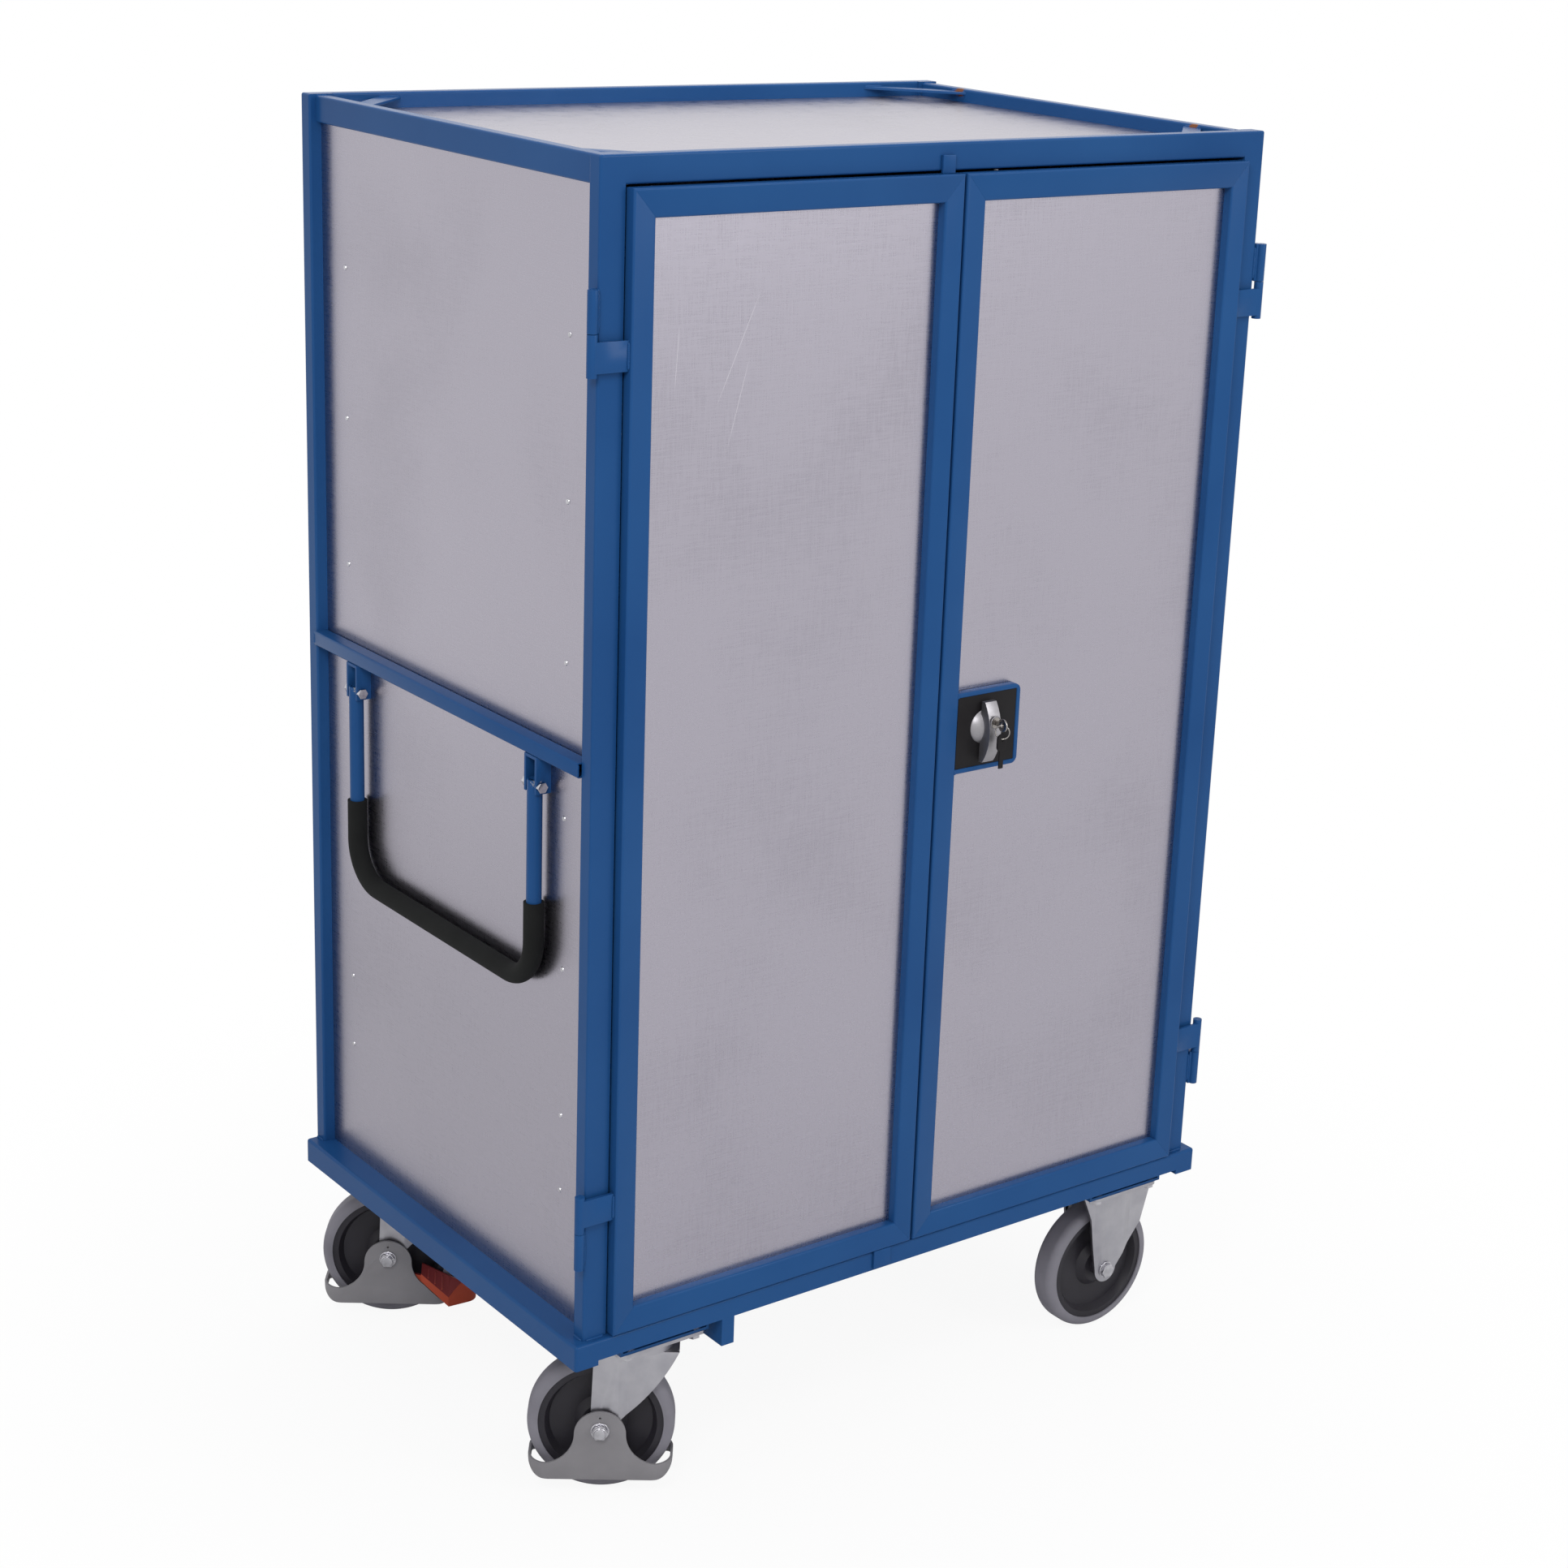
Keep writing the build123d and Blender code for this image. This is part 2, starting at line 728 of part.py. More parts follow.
# Hinge halves on the posts, with the pins
with BuildPart() as post_hinges:
    for side in (-1, 1):
        upper, lower = hinge_bottoms
        for low_z in (upper + hinge_length - half_hinge, lower):
            z_range = (low_z, low_z + half_hinge)
            block(
                mirrored((half_width, hinge_x), side),
                (hinge_y, hinge_y + leaf_depth),
                z_range,
            )
            cylinder_z(side * hinge_x, hinge_y, z_range, hinge_pin_radius + bore_gap, mode=Mode.SUBTRACT)
            add(hinge_half(side * hinge_x, z_range))
    for side in (-1, 1):
        for low_z in hinge_bottoms:
            cylinder_z(side * hinge_x, hinge_y, (low_z, low_z + hinge_length), hinge_pin_radius)
write_node(post_hinges.part, "post_hinges")

# Lock box: a bent strip against the right door's inner stile
lock_low_z = base_top + lock_bottom
lock_high_z = lock_low_z + lock_height
lock_left = opening_x[0]
with BuildPart() as lock_box:
    with BuildSketch(Plane.XZ.offset(-door_front_y)):
        with BuildLine():
            FilletPolyline(
                (lock_left, lock_low_z),
                (lock_right, lock_low_z),
                (lock_right, lock_high_z),
                (lock_left, lock_high_z),
                radius=lock_corner,
            )
            Line((lock_left, lock_high_z), (lock_left, lock_low_z))
        make_face()
        with Locations(((lock_left + lock_right - lock_strip) / 2, (lock_low_z + lock_high_z) / 2)):
            Rectangle(lock_right - lock_strip - lock_left, lock_height - 2 * lock_strip, mode=Mode.SUBTRACT)
    extrude(amount=-door_sheet_recess)
write_node(lock_box.part, "lock_box")

# Lock plate: the black cover inside the box, with the bore for the spindle
with BuildPart() as lock_plate:
    block(
        (lock_left, lock_right - lock_strip),
        (plate_front_y, door_sheet_y),
        (lock_low_z + lock_strip, lock_high_z - lock_strip),
    )
    with BuildSketch(Plane.XZ.offset(-plate_front_y)):
        with Locations((handle_x, spindle_z)):
            Circle(spindle_radius + slide_gap)
    extrude(amount=-(door_sheet_recess - plate_recess), mode=Mode.SUBTRACT)
write_node(lock_plate.part, "lock_plate")

# Lock handle: a dome, a bowed wing across it and the spindle behind it
wing_front_y = plate_front_y - wing_height
wing_back_y = plate_front_y - wing_foot
case_front_y = door_sheet_y + sheet_thickness
cam_y = case_front_y + (case_depth - cam_thickness) / 2
plug_z = spindle_z + plug_up
with BuildPart() as lock_handle:
    with BuildSketch(Plane.YZ.offset(handle_x)):
        with BuildLine():
            foot = plate_front_y - slide_gap
            rounding = TangentArc(
                (foot - dome_height, spindle_z),
                (foot, spindle_z + dome_radius),
                tangent=(0, 1),
            )
            Polyline(rounding @ 1, (foot, spindle_z), rounding @ 0)
        make_face()
    revolve(axis=Axis((handle_x, 0, spindle_z), (0, 1, 0)))
    with BuildSketch(Plane.YZ.offset(handle_x)):
        with BuildLine():
            low_end = (plate_front_y - wing_end_height, spindle_z - wing_down)
            high_end = (plate_front_y - wing_end_height, spindle_z + wing_up)
            bow = ThreePointArc(low_end, (wing_front_y, spindle_z + (wing_up - wing_down) / 2), high_end)
            Polyline(bow @ 1, (wing_back_y, high_end[1]), (wing_back_y, low_end[1]), bow @ 0)
        make_face()
    extrude(amount=wing_width / 2, both=True)
    with BuildSketch(Plane.XZ.offset(-plate_front_y + slide_gap)):
        with Locations((handle_x, spindle_z)):
            Circle(spindle_radius)
    extrude(amount=-(cam_y + cam_thickness - plate_front_y + slide_gap))
    with BuildSketch(Plane.XZ.offset(-wing_front_y)):
        with Locations((handle_x, plug_z)):
            Circle(plug_radius + slide_gap)
    extrude(amount=-(plug_depth + slide_gap), mode=Mode.SUBTRACT)
write_node(lock_handle.part, "lock_handle")

# Lock cam: the disc on the spindle that drives the rods
with BuildPart() as lock_cam:
    with BuildSketch(Plane.XZ.offset(-cam_y)):
        with Locations((handle_x, spindle_z)):
            Circle(cam_radius)
            Circle(spindle_radius + bore_gap, mode=Mode.SUBTRACT)
    extrude(amount=-cam_thickness)
write_node(lock_cam.part, "lock_cam")

# Lock case: a sheet box on the back of the door sheet, with holes for spindle and rods
case_x = (handle_x - case_width / 2, handle_x + case_width / 2)
case_z = (spindle_z - case_height / 2, spindle_z + case_height / 2)
with BuildPart() as lock_case:
    block(case_x, (case_front_y, case_front_y + case_depth), case_z)
    block(
        (case_x[0] + case_wall, case_x[1] - case_wall),
        (case_front_y, case_front_y + case_depth - case_wall),
        (case_z[0] + case_wall, case_z[1] - case_wall),
        mode=Mode.SUBTRACT,
    )
    cylinder_z(
        handle_x,
        rod_y,
        (case_z[0] - case_wall, case_z[1] + case_wall),
        rod_radius + slide_gap,
        mode=Mode.SUBTRACT,
    )
write_node(lock_case.part, "lock_case")

# Lock rods: from beside the cam to just inside the frame
with BuildPart() as lock_rod_upper:
    cylinder_z(handle_x, rod_y, (spindle_z + rod_cam_room, rim_bottom - rod_top_room), rod_radius)
write_node(lock_rod_upper.part, "lock_rod_upper")

with BuildPart() as lock_rod_lower:
    cylinder_z(handle_x, rod_y, (base_top + rod_bottom_room, spindle_z - rod_cam_room), rod_radius)
write_node(lock_rod_lower.part, "lock_rod_lower")

# Rod guides: blocks on the backs of the door's rails
with BuildPart() as rod_guides:
    for rail_middle in (door_low_z + door_rail_height / 2, door_high_z - door_rail_height / 2):
        z_range = (rail_middle - guide_height / 2, rail_middle + guide_height / 2)
        block(
            (handle_x - guide_width / 2, handle_x + guide_width / 2),
            (door_back_y, rod_y + rod_radius + slide_gap + guide_wall),
            z_range,
        )
        cylinder_z(handle_x, rod_y, z_range, rod_radius + slide_gap, mode=Mode.SUBTRACT)
write_node(rod_guides.part, "rod_guides")

# Rod keepers: a plate behind the front top rail and a strike plate on the floor
with BuildPart() as rod_keepers:
    rim_back_y = front_y + rim_depth
    upper_range = (rim_bottom, rim_bottom + keeper_thickness)
    lower_range = (base_top, base_top + strike_thickness)
    half = keeper_width / 2
    block((handle_x - half, handle_x + half), (rim_back_y, rim_back_y + keeper_reach), upper_range)
    block(
        (handle_x - half, handle_x + half),
        (rod_y - strike_length / 2, rod_y + strike_length / 2),
        lower_range,
    )
    cylinder_z(handle_x, rod_y, upper_range, rod_radius + slide_gap, mode=Mode.SUBTRACT)
    cylinder_z(handle_x, rod_y, lower_range, rod_radius + slide_gap, mode=Mode.SUBTRACT)
write_node(rod_keepers.part, "rod_keepers")

# Key cylinder: the plug in the wing
with BuildPart() as key_cylinder:
    with BuildSketch(Plane.XZ.offset(-wing_front_y)):
        with Locations((handle_x, plug_z)):
            Circle(plug_radius)
    extrude(amount=-plug_depth)
write_node(key_cylinder.part, "key_cylinder")

# Key: a neck at the plug and a round bow with the hole for the ring
bow_y = wing_front_y - key_out + key_bow_radius
ring_hole_y = bow_y
with BuildPart() as key:
    with BuildSketch(Plane.YZ.offset(handle_x)):
        with Locations((bow_y, plug_z)):
            Circle(key_bow_radius)
        with Locations(((wing_front_y + bow_y) / 2, plug_z)):
            Rectangle(wing_front_y - bow_y, key_neck)
        with Locations((ring_hole_y, plug_z)):
            Circle(key_hole_radius, mode=Mode.SUBTRACT)
    extrude(amount=key_thickness / 2, both=True)
write_node(key.part, "key")

# Key ring: it hangs aslant in the bow's hole
ring_middle_z = plug_z - ring_radius
with BuildPart() as key_ring:
    with Locations(Location((handle_x, ring_hole_y, ring_middle_z), (0, 0, -ring_turn))):
        Torus(ring_radius, ring_wire, rotation=(90, 0, 0))
write_node(key_ring.part, "key_ring")

# Spare key: it hangs flat to the front from the ring
spare_hole_z = ring_middle_z - ring_radius
spare_low_z = spare_hole_z + spare_bow_above - spare_bow_height
with BuildPart() as spare_key:
    with BuildSketch(Plane.XZ.offset(-ring_hole_y)):
        with Locations((handle_x, (spare_hole_z + spare_bow_above + spare_low_z) / 2)):
            RectangleRounded(spare_bow_width, spare_bow_height, spare_bow_above)
        with Locations((handle_x, spare_hole_z)):
            Circle(spare_hole_radius, mode=Mode.SUBTRACT)
    extrude(amount=spare_thickness / 2, both=True)
    block(
        (handle_x - spare_blade_width / 2, handle_x + spare_blade_width / 2),
        (ring_hole_y - spare_blade_thickness / 2, ring_hole_y + spare_blade_thickness / 2),
        (spare_low_z - spare_blade_length, spare_low_z + spare_bow_above),
    )
write_node(spare_key.part, "spare_key")

# Places of the push handle
pivot_x = -(sheet_x + pivot_out)
pivot_height = base_top + pivot_z
arm_middles = (centre_y - arm_spread / 2, centre_y + arm_spread / 2)
handle_low_z = pivot_height - handle_drop
lug_half = lug_inner / 2 + lug_plate
rail_low_z = base_top + handle_rail_bottom


def cylinder_y(x, z, y_range, radius, mode=Mode.ADD):
    """A cylinder that lies front to back, for the part that is open."""
    with Locations(Location((x, (y_range[0] + y_range[1]) / 2, z), (90, 0, 0))):
        Cylinder(radius, y_range[1] - y_range[0], mode=mode)


def hexagon_y(x, z, y_range, across):
    """A hexagonal prism that lies front to back, as a bolt head or a nut does."""
    with BuildPart() as prism:
        with BuildSketch(Plane.XZ.offset(-y_range[0])):
            with Locations((x, z)):
                RegularPolygon(across / 2, 6, major_radius=False)
        extrude(amount=-(y_range[1] - y_range[0]))
    return prism.part


def handle_path(start_z):
    """The middle line of the handle: down one arm, across, and up the other."""
    with BuildLine(Plane.YZ.offset(pivot_x)) as line:
        FilletPolyline(
            (arm_middles[0], start_z),
            (arm_middles[0], handle_low_z),
            (arm_middles[1], handle_low_z),
            (arm_middles[1], start_z),
            radius=handle_bend,
        )
    return line.line


# Handle rail: the tube across the left side that carries the push handle
with BuildPart() as handle_rail:
    with BuildSketch(Plane.XZ.offset(-centre_y)):
        with Locations((-sheet_x - handle_rail_depth / 2, rail_low_z + handle_rail_height / 2)):
            RectangleRounded(handle_rail_depth, handle_rail_height, tube_round)
            Rectangle(
                handle_rail_depth - 2 * tube_wall, handle_rail_height - 2 * tube_wall, mode=Mode.SUBTRACT
            )
    extrude(amount=body_depth / 2 - post_depth, both=True)
write_node(handle_rail.part, "handle_rail")

# Handle lugs: two brackets under the rail, open downwards
with BuildPart() as handle_lugs:
    for middle in arm_middles:
        lug_x = (-sheet_x - lug_depth, -sheet_x)
        lug_low_z = base_top + lug_bottom
        block(lug_x, (middle - lug_half, middle + lug_half), (lug_low_z, rail_low_z))
        block(
            lug_x,
            (middle - lug_inner / 2, middle + lug_inner / 2),
            (lug_low_z, rail_low_z - lug_plate),
            mode=Mode.SUBTRACT,
        )
        cylinder_y(
            pivot_x,
            pivot_height,
            (middle - lug_half, middle + lug_half),
            bolt_radius + bore_gap,
            mode=Mode.SUBTRACT,
        )
write_node(handle_lugs.part, "handle_lugs")

# Handle bolts: heads towards the front, nuts behind
with BuildPart() as handle_bolts:
    for middle in arm_middles:
        head_y = (middle - lug_half - bolt_head_height, middle - lug_half)
        nut_y = (middle + lug_half, middle + lug_half + nut_height)
        add(hexagon_y(pivot_x, pivot_height, nut_y, bolt_head_across))
        cylinder_y(pivot_x, pivot_height, nut_y, bolt_radius + bore_gap, mode=Mode.SUBTRACT)
        add(hexagon_y(pivot_x, pivot_height, head_y, bolt_head_across))
        cylinder_y(pivot_x, pivot_height, (head_y[1], nut_y[1] + bolt_stub), bolt_radius)
write_node(handle_bolts.part, "handle_bolts")

# Push handle: a bent tube that turns on the two bolts
with BuildPart() as push_handle_tube:
    arm_top_z = pivot_height + arm_end
    with BuildSketch(Plane.XY.offset(arm_top_z)):
        with Locations((pivot_x, arm_middles[0])):
            Circle(arm_radius)
            Circle(arm_radius - arm_wall, mode=Mode.SUBTRACT)
    sweep(path=handle_path(arm_top_z))
    bolt_line = (arm_middles[0] - lug_half, arm_middles[1] + lug_half)
    cylinder_y(pivot_x, pivot_height, bolt_line, bolt_radius + bore_gap, mode=Mode.SUBTRACT)
write_node(push_handle_tube.part, "push_handle_tube")

# Push handle grip: a foam sleeve round the lower part of the tube
with BuildPart() as push_handle_grip:
    with BuildSketch(Plane.XY.offset(base_top + grip_start)):
        with Locations((pivot_x, arm_middles[0])):
            Circle(grip_radius)
            Circle(arm_radius + bore_gap, mode=Mode.SUBTRACT)
    sweep(path=handle_path(base_top + grip_start))
write_node(push_handle_grip.part, "push_handle_grip")

# Places of the casters
plate_low_z = caster_height - plate_thickness
fork_outer = fork_inner + fork_plate
rim_radius = wheel_radius - tyre_thickness


def swivel_place(end):
    """Where a swivel caster's kingpin stands, turned as the caster rests."""
    return Location((swivel_x, caster_y[end], 0), (0, 0, swivel_rest_angle))


def trailing_place(end):
    """Where a swivel caster's wheel stands, behind the kingpin."""
    x = swivel_x + swivel_trail * math.cos(trail_heading)
    y = caster_y[end] + swivel_trail * math.sin(trail_heading)
    return Location((x, y, 0), (0, 0, swivel_rest_angle))


def fixed_place(end):
    """Where a fixed caster's axle stands, inward of its plate."""
    return Location((fixed_x - fixed_lead, caster_y[end], 0))


def placed(shape, *places):
    """A shape, copied to each of its places."""
    with BuildPart() as copies:
        with Locations(*places):
            add(shape)
    return copies.part


def tyre_shape():
    """A tread with rounded shoulders, turned round the axle."""
    with BuildPart() as tyre:
        with BuildSketch() as section:
            with Locations((rim_radius + tyre_thickness / 2, 0)):
                Rectangle(tyre_thickness, wheel_width)
            fillet(section.vertices().group_by(Axis.X)[-1], tyre_crown)
        revolve(axis=Axis.Y)
    return Location((0, 0, wheel_radius)) * tyre.part


def rim_shape():
    """A dished wheel centre: bush, boss, ring, web and rim, turned round the axle."""
    outer = rim_radius - bore_gap
    half = [
        (axle_radius + bore_gap, fork_inner - hub_room),
        (hub_bush_radius, fork_inner - hub_room),
        (hub_bush_radius, hub_boss_width / 2),
        (hub_radius, hub_boss_width / 2),
        (hub_ring_radius, web_width / 2),
        (outer - rim_ring - dish_slope, web_width / 2),
        (outer - rim_ring, rim_width / 2),
        (outer, rim_width / 2),
    ]
    other_half = [(radius, -y) for radius, y in reversed(half)]
    with BuildPart() as rim:
        with BuildSketch():
            with BuildLine():
                Polyline(*half, *other_half, close=True)
            make_face()
        revolve(axis=Axis.Y)
    return Location((0, 0, wheel_radius)) * rim.part


def axle_shape(reach):
    """A bolt through the fork, with its head on one side and a nut on the other."""
    head_y = (-reach - axle_head_height, -reach)
    nut_y = (reach, reach + axle_head_height)
    with BuildPart() as axle:
        add(hexagon_y(0, wheel_radius, nut_y, axle_head_across))
        cylinder_y(0, wheel_radius, nut_y, axle_radius + bore_gap, mode=Mode.SUBTRACT)
        add(hexagon_y(0, wheel_radius, head_y, axle_head_across))
        cylinder_y(0, wheel_radius, (head_y[1], nut_y[1] + axle_stub), axle_radius)
    return axle.part


def plate_shape(length):
    """A caster's top plate of a given length with its four bolt holes."""
    with BuildPart() as plate:
        with BuildSketch(Plane.XY.offset(plate_low_z)):
            RectangleRounded(length, plate_width, plate_round)
            with GridLocations(plate_bolt_length, plate_bolt_width, 2, 2):
                Circle(plate_hole_radius, mode=Mode.SUBTRACT)
        extrude(amount=plate_thickness)
    return plate.part


def fixed_fork_shape():
    """A top plate with two folded cheeks that narrow to the axle, which stands inward of the plate."""
    wing_outer = fork_outer - fork_step
    back_fold = fork_panel_shift - fork_panel
    front_fold = fork_panel_shift + fork_panel
    outline = [
        (-fork_back_reach, wing_outer),
        (back_fold - fork_slope, wing_outer),
        (back_fold, fork_outer),
        (front_fold, fork_outer),
        (front_fold + fork_slope, wing_outer),
        (fork_front_reach, wing_outer),
    ]
    inline = [(x, y - fork_plate) for x, y in reversed(outline)]
    with BuildPart() as fork:
        with BuildSketch(Plane.XY.offset(wheel_radius - fork_eye_radius)) as cheek:
            with BuildLine():
                Polyline(*outline, *inline, close=True)
            make_face()
            mirror(cheek.sketch, about=Plane.XZ)
        extrude(amount=plate_low_z - wheel_radius + fork_eye_radius)
        with BuildSketch(Plane.XZ):
            with BuildLine():
                Polyline(
                    (-fork_eye_radius, wheel_radius),
                    (-fork_heel, wheel_radius + fork_heel_up),
                    (-fork_back_reach, plate_low_z - crown_thickness),
                    (-fork_back_reach, plate_low_z),
                    (fork_front_reach, plate_low_z),
                    (fork_front_reach, plate_low_z - crown_thickness),
                    (fork_knee, wheel_radius + fork_knee_up),
                    (fork_eye_radius, wheel_radius),
                )
                ThreePointArc(
                    (-fork_eye_radius, wheel_radius),
                    (0, wheel_radius - fork_eye_radius),
                    (fork_eye_radius, wheel_radius),
                )
            make_face()
        extrude(amount=fork_outer, both=True, mode=Mode.INTERSECT)
        cylinder_y(
            0, wheel_radius, (-fork_outer, fork_outer), axle_radius + bore_gap, mode=Mode.SUBTRACT
        )
        with Locations((fixed_lead, 0)):
            add(plate_shape(fixed_plate_length))
    return fork.part


def swivel_plate_shape():
    """A top plate with the ball race and the kingpin under it."""
    crown_top = caster_height - crown_drop
    nut_top = crown_top - crown_thickness - slide_gap
    with BuildPart() as plate:
        add(plate_shape(plate_length))
        cylinder_z(0, 0, (crown_top + slide_gap, plate_low_z), race_radius)
        cylinder_z(0, 0, (nut_top, crown_top + slide_gap), kingpin_radius)
        cylinder_z(0, 0, (nut_top - kingpin_nut_height, nut_top), kingpin_nut_radius)
    return plate.part


def swivel_fork_shape():
    """A crown round the kingpin and two cheeks that sweep back to the axle."""
    crown_top = caster_height - crown_drop
    back = swivel_trail + swivel_eye_radius
    fold = swivel_trail - swivel_fold_ahead
    outline = [
        (back, fork_outer),
        (fold, fork_outer),
        (fold - fork_slope, fork_outer - fork_step),
        (-crown_front, fork_outer - fork_step),
    ]
    inline = [(x, y - fork_plate) for x, y in reversed(outline)]
    shoulder = (swivel_trail - swivel_shoulder_ahead, wheel_radius + swivel_shoulder_up)
    crown_tip = (-crown_front, crown_top)
    chord = math.hypot(crown_tip[0] - shoulder[0], crown_tip[1] - shoulder[1])
    lean = ((shoulder[1] - crown_tip[1]) / chord, (crown_tip[0] - shoulder[0]) / chord)
    bulge = [(a + b) / 2 + swivel_bulge * n for a, b, n in zip(crown_tip, shoulder, lean)]
    with BuildPart() as fork:
        with BuildSketch(Plane.XY.offset(wheel_radius - swivel_eye_radius)) as cheek:
            with BuildLine():
                Polyline(*outline, *inline, close=True)
            make_face()
            mirror(cheek.sketch, about=Plane.XZ)
        extrude(amount=crown_top - wheel_radius + swivel_eye_radius)
        with BuildSketch(Plane.XZ):
            with BuildLine():
                Line((back, wheel_radius), (crown_back, crown_top))
                Line((crown_back, crown_top), crown_tip)
                ThreePointArc(crown_tip, tuple(bulge), shoulder)
                Line(shoulder, (swivel_trail - swivel_eye_radius, wheel_radius))
                ThreePointArc(
                    (swivel_trail - swivel_eye_radius, wheel_radius),
                    (swivel_trail, wheel_radius - swivel_eye_radius),
                    (back, wheel_radius),
                )
            make_face()
        extrude(amount=fork_outer, both=True, mode=Mode.INTERSECT)
        with BuildSketch(Plane.XY.offset(crown_top - crown_thickness)):
            with Locations(((crown_back - crown_front) / 2, 0)):
                RectangleRounded(crown_back + crown_front, 2 * (fork_outer - fork_step), crown_round)
            Circle(kingpin_radius + bore_gap, mode=Mode.SUBTRACT)
        extrude(amount=crown_thickness)
        cylinder_y(
            swivel_trail,
            wheel_radius,
            (-fork_outer, fork_outer),
            axle_radius + bore_gap,
            mode=Mode.SUBTRACT,
        )
    return fork.part


def guard_shape(with_pedal):
    """A foot guard: a band round the foot of the wheel with a hump on each side up to the axle."""
    hump_z = wheel_radius - guard_hump_drop
    band_top = hump_z - guard_sweep_radius
    sweep_x = guard_hump_radius + guard_sweep_radius
    diagonal = guard_sweep_radius * math.sqrt(0.5)
    inner_face = guard_half_width - guard_wall
    with BuildPart() as guard:
        with BuildSketch():
            RectangleRounded(2 * guard_half_length, 2 * guard_half_width, guard_corner)
            RectangleRounded(
                2 * (guard_half_length - guard_wall),
                2 * inner_face,
                guard_corner - guard_wall,
                mode=Mode.SUBTRACT,
            )
        extrude(amount=hump_z + guard_hump_radius)
        with BuildSketch(Plane.XZ) as profile:
            with BuildLine():
                for side in (-1, 1):
                    Line((side * guard_half_length, guard_bottom), (side * guard_half_length, band_top))
                    Line((side * guard_half_length, band_top), (side * sweep_x, band_top))
                    ThreePointArc(
                        (side * sweep_x, band_top),
                        (side * (sweep_x - diagonal), hump_z - diagonal),
                        (side * guard_hump_radius, hump_z),
                    )
                ThreePointArc(
                    (-guard_hump_radius, hump_z),
                    (0, hump_z + guard_hump_radius),
                    (guard_hump_radius, hump_z),
                )
                Line((-guard_half_length, guard_bottom), (guard_half_length, guard_bottom))
            make_face()
            fillet(profile.vertices().group_by(Axis.Y)[0], guard_bottom_round)
        extrude(amount=guard_half_width, both=True, mode=Mode.INTERSECT)
        for side in (-1, 1):
            boss = sorted((side * fork_outer, side * inner_face))
            cylinder_y(0, wheel_radius, boss, guard_boss_radius)
        across = (-guard_half_width, guard_half_width)
        cylinder_y(0, wheel_radius, across, axle_radius + bore_gap, mode=Mode.SUBTRACT)
        hole_z = wheel_radius + guard_pinhole_up
        cylinder_y(0, hole_z, across, guard_pinhole_radius, mode=Mode.SUBTRACT)
        if with_pedal:
            cut_run = guard_cut_up / math.tan(math.radians(guard_cut_slope))
            with BuildSketch(Plane.XZ):
                with BuildLine():
                    far = guard_half_length + guard_corner
                    Polyline(
                        (-guard_cut_ahead, guard_cut_up),
                        (-guard_cut_ahead - cut_run, 0),
                        (-far, 0),
                        (-far, hump_z),
                        (-guard_cut_ahead, hump_z),
                        close=True,
                    )
                make_face()
            extrude(amount=guard_half_width, both=True, mode=Mode.SUBTRACT)
            for side in (-1, 1):
                pin = sorted((side * inner_face, side * (inner_face - pedal_ear_thickness - 2 * slide_gap)))
                cylinder_y(-pedal_pivot_ahead, pedal_pivot_z, pin, pedal_pin_radius)
    return guard.part


def pedal_shape():
    """A foot pedal: a sloping, crowned tongue, cut away round the wheel, with ears on the guard's pins."""
    inner_face = guard_half_width - guard_wall
    ridge = guard_half_width - pedal_crown_run
    stations = (
        (pedal_start_ahead, pedal_start_low, pedal_start_high, pedal_start_crown),
        (pedal_knee_ahead, pedal_knee_low, pedal_knee_high, pedal_knee_crown),
        (pedal_tip_ahead, pedal_tip_low, pedal_tip_high, pedal_tip_crown),
    )
    with BuildPart() as pedal:
        for ahead, low, high, crown in stations:
            with BuildSketch(Plane.YZ.offset(-ahead)):
                with BuildLine():
                    half = [(guard_half_width, low), (guard_half_width, high), (ridge, high + crown)]
                    Polyline(*half, *[(-y, z) for y, z in reversed(half)], close=True)
                make_face()
        loft(ruled=True)
        with BuildSketch():
            with Locations((-(pedal_start_ahead + pedal_knee_ahead) / 2, 0)):
                Rectangle(pedal_knee_ahead - pedal_start_ahead, 2 * guard_half_width)
            with Locations((pedal_tip_radius - pedal_tip_ahead, 0)):
                Circle(pedal_tip_radius)
            make_hull()
        extrude(amount=pedal_start_high + pedal_start_crown, mode=Mode.INTERSECT)
        for side in (-1, 1):
            ear_outer = inner_face - slide_gap
            ear = mirrored((ear_outer - pedal_ear_thickness, ear_outer), side)
            with BuildSketch(Plane.XZ.offset(-ear[0])):
                with Locations((-pedal_pivot_ahead, pedal_pivot_z)):
                    Circle(pedal_ear_radius)
                with Locations((-pedal_start_ahead - pedal_ear_radius / 2, pedal_pivot_z)):
                    Circle(pedal_pin_radius)
                make_hull()
            extrude(amount=-pedal_ear_thickness)
        cylinder_y(
            0,
            wheel_radius,
            (-wheel_width / 2 - pedal_side_room, wheel_width / 2 + pedal_side_room),
            wheel_radius + pedal_wheel_room,
            mode=Mode.SUBTRACT,
        )
        cylinder_y(
            -pedal_pivot_ahead,
            pedal_pivot_z,
            (-guard_half_width, guard_half_width),
            pedal_pin_radius + bore_gap,
            mode=Mode.SUBTRACT,
        )
    return pedal.part


# Fixed casters on the right
fixed_places = [fixed_place(end) for end in ("front", "rear")]
write_node(placed(fixed_fork_shape(), *fixed_places), "fixed_forks")
write_node(placed(axle_shape(fork_outer), *fixed_places), "fixed_axles")

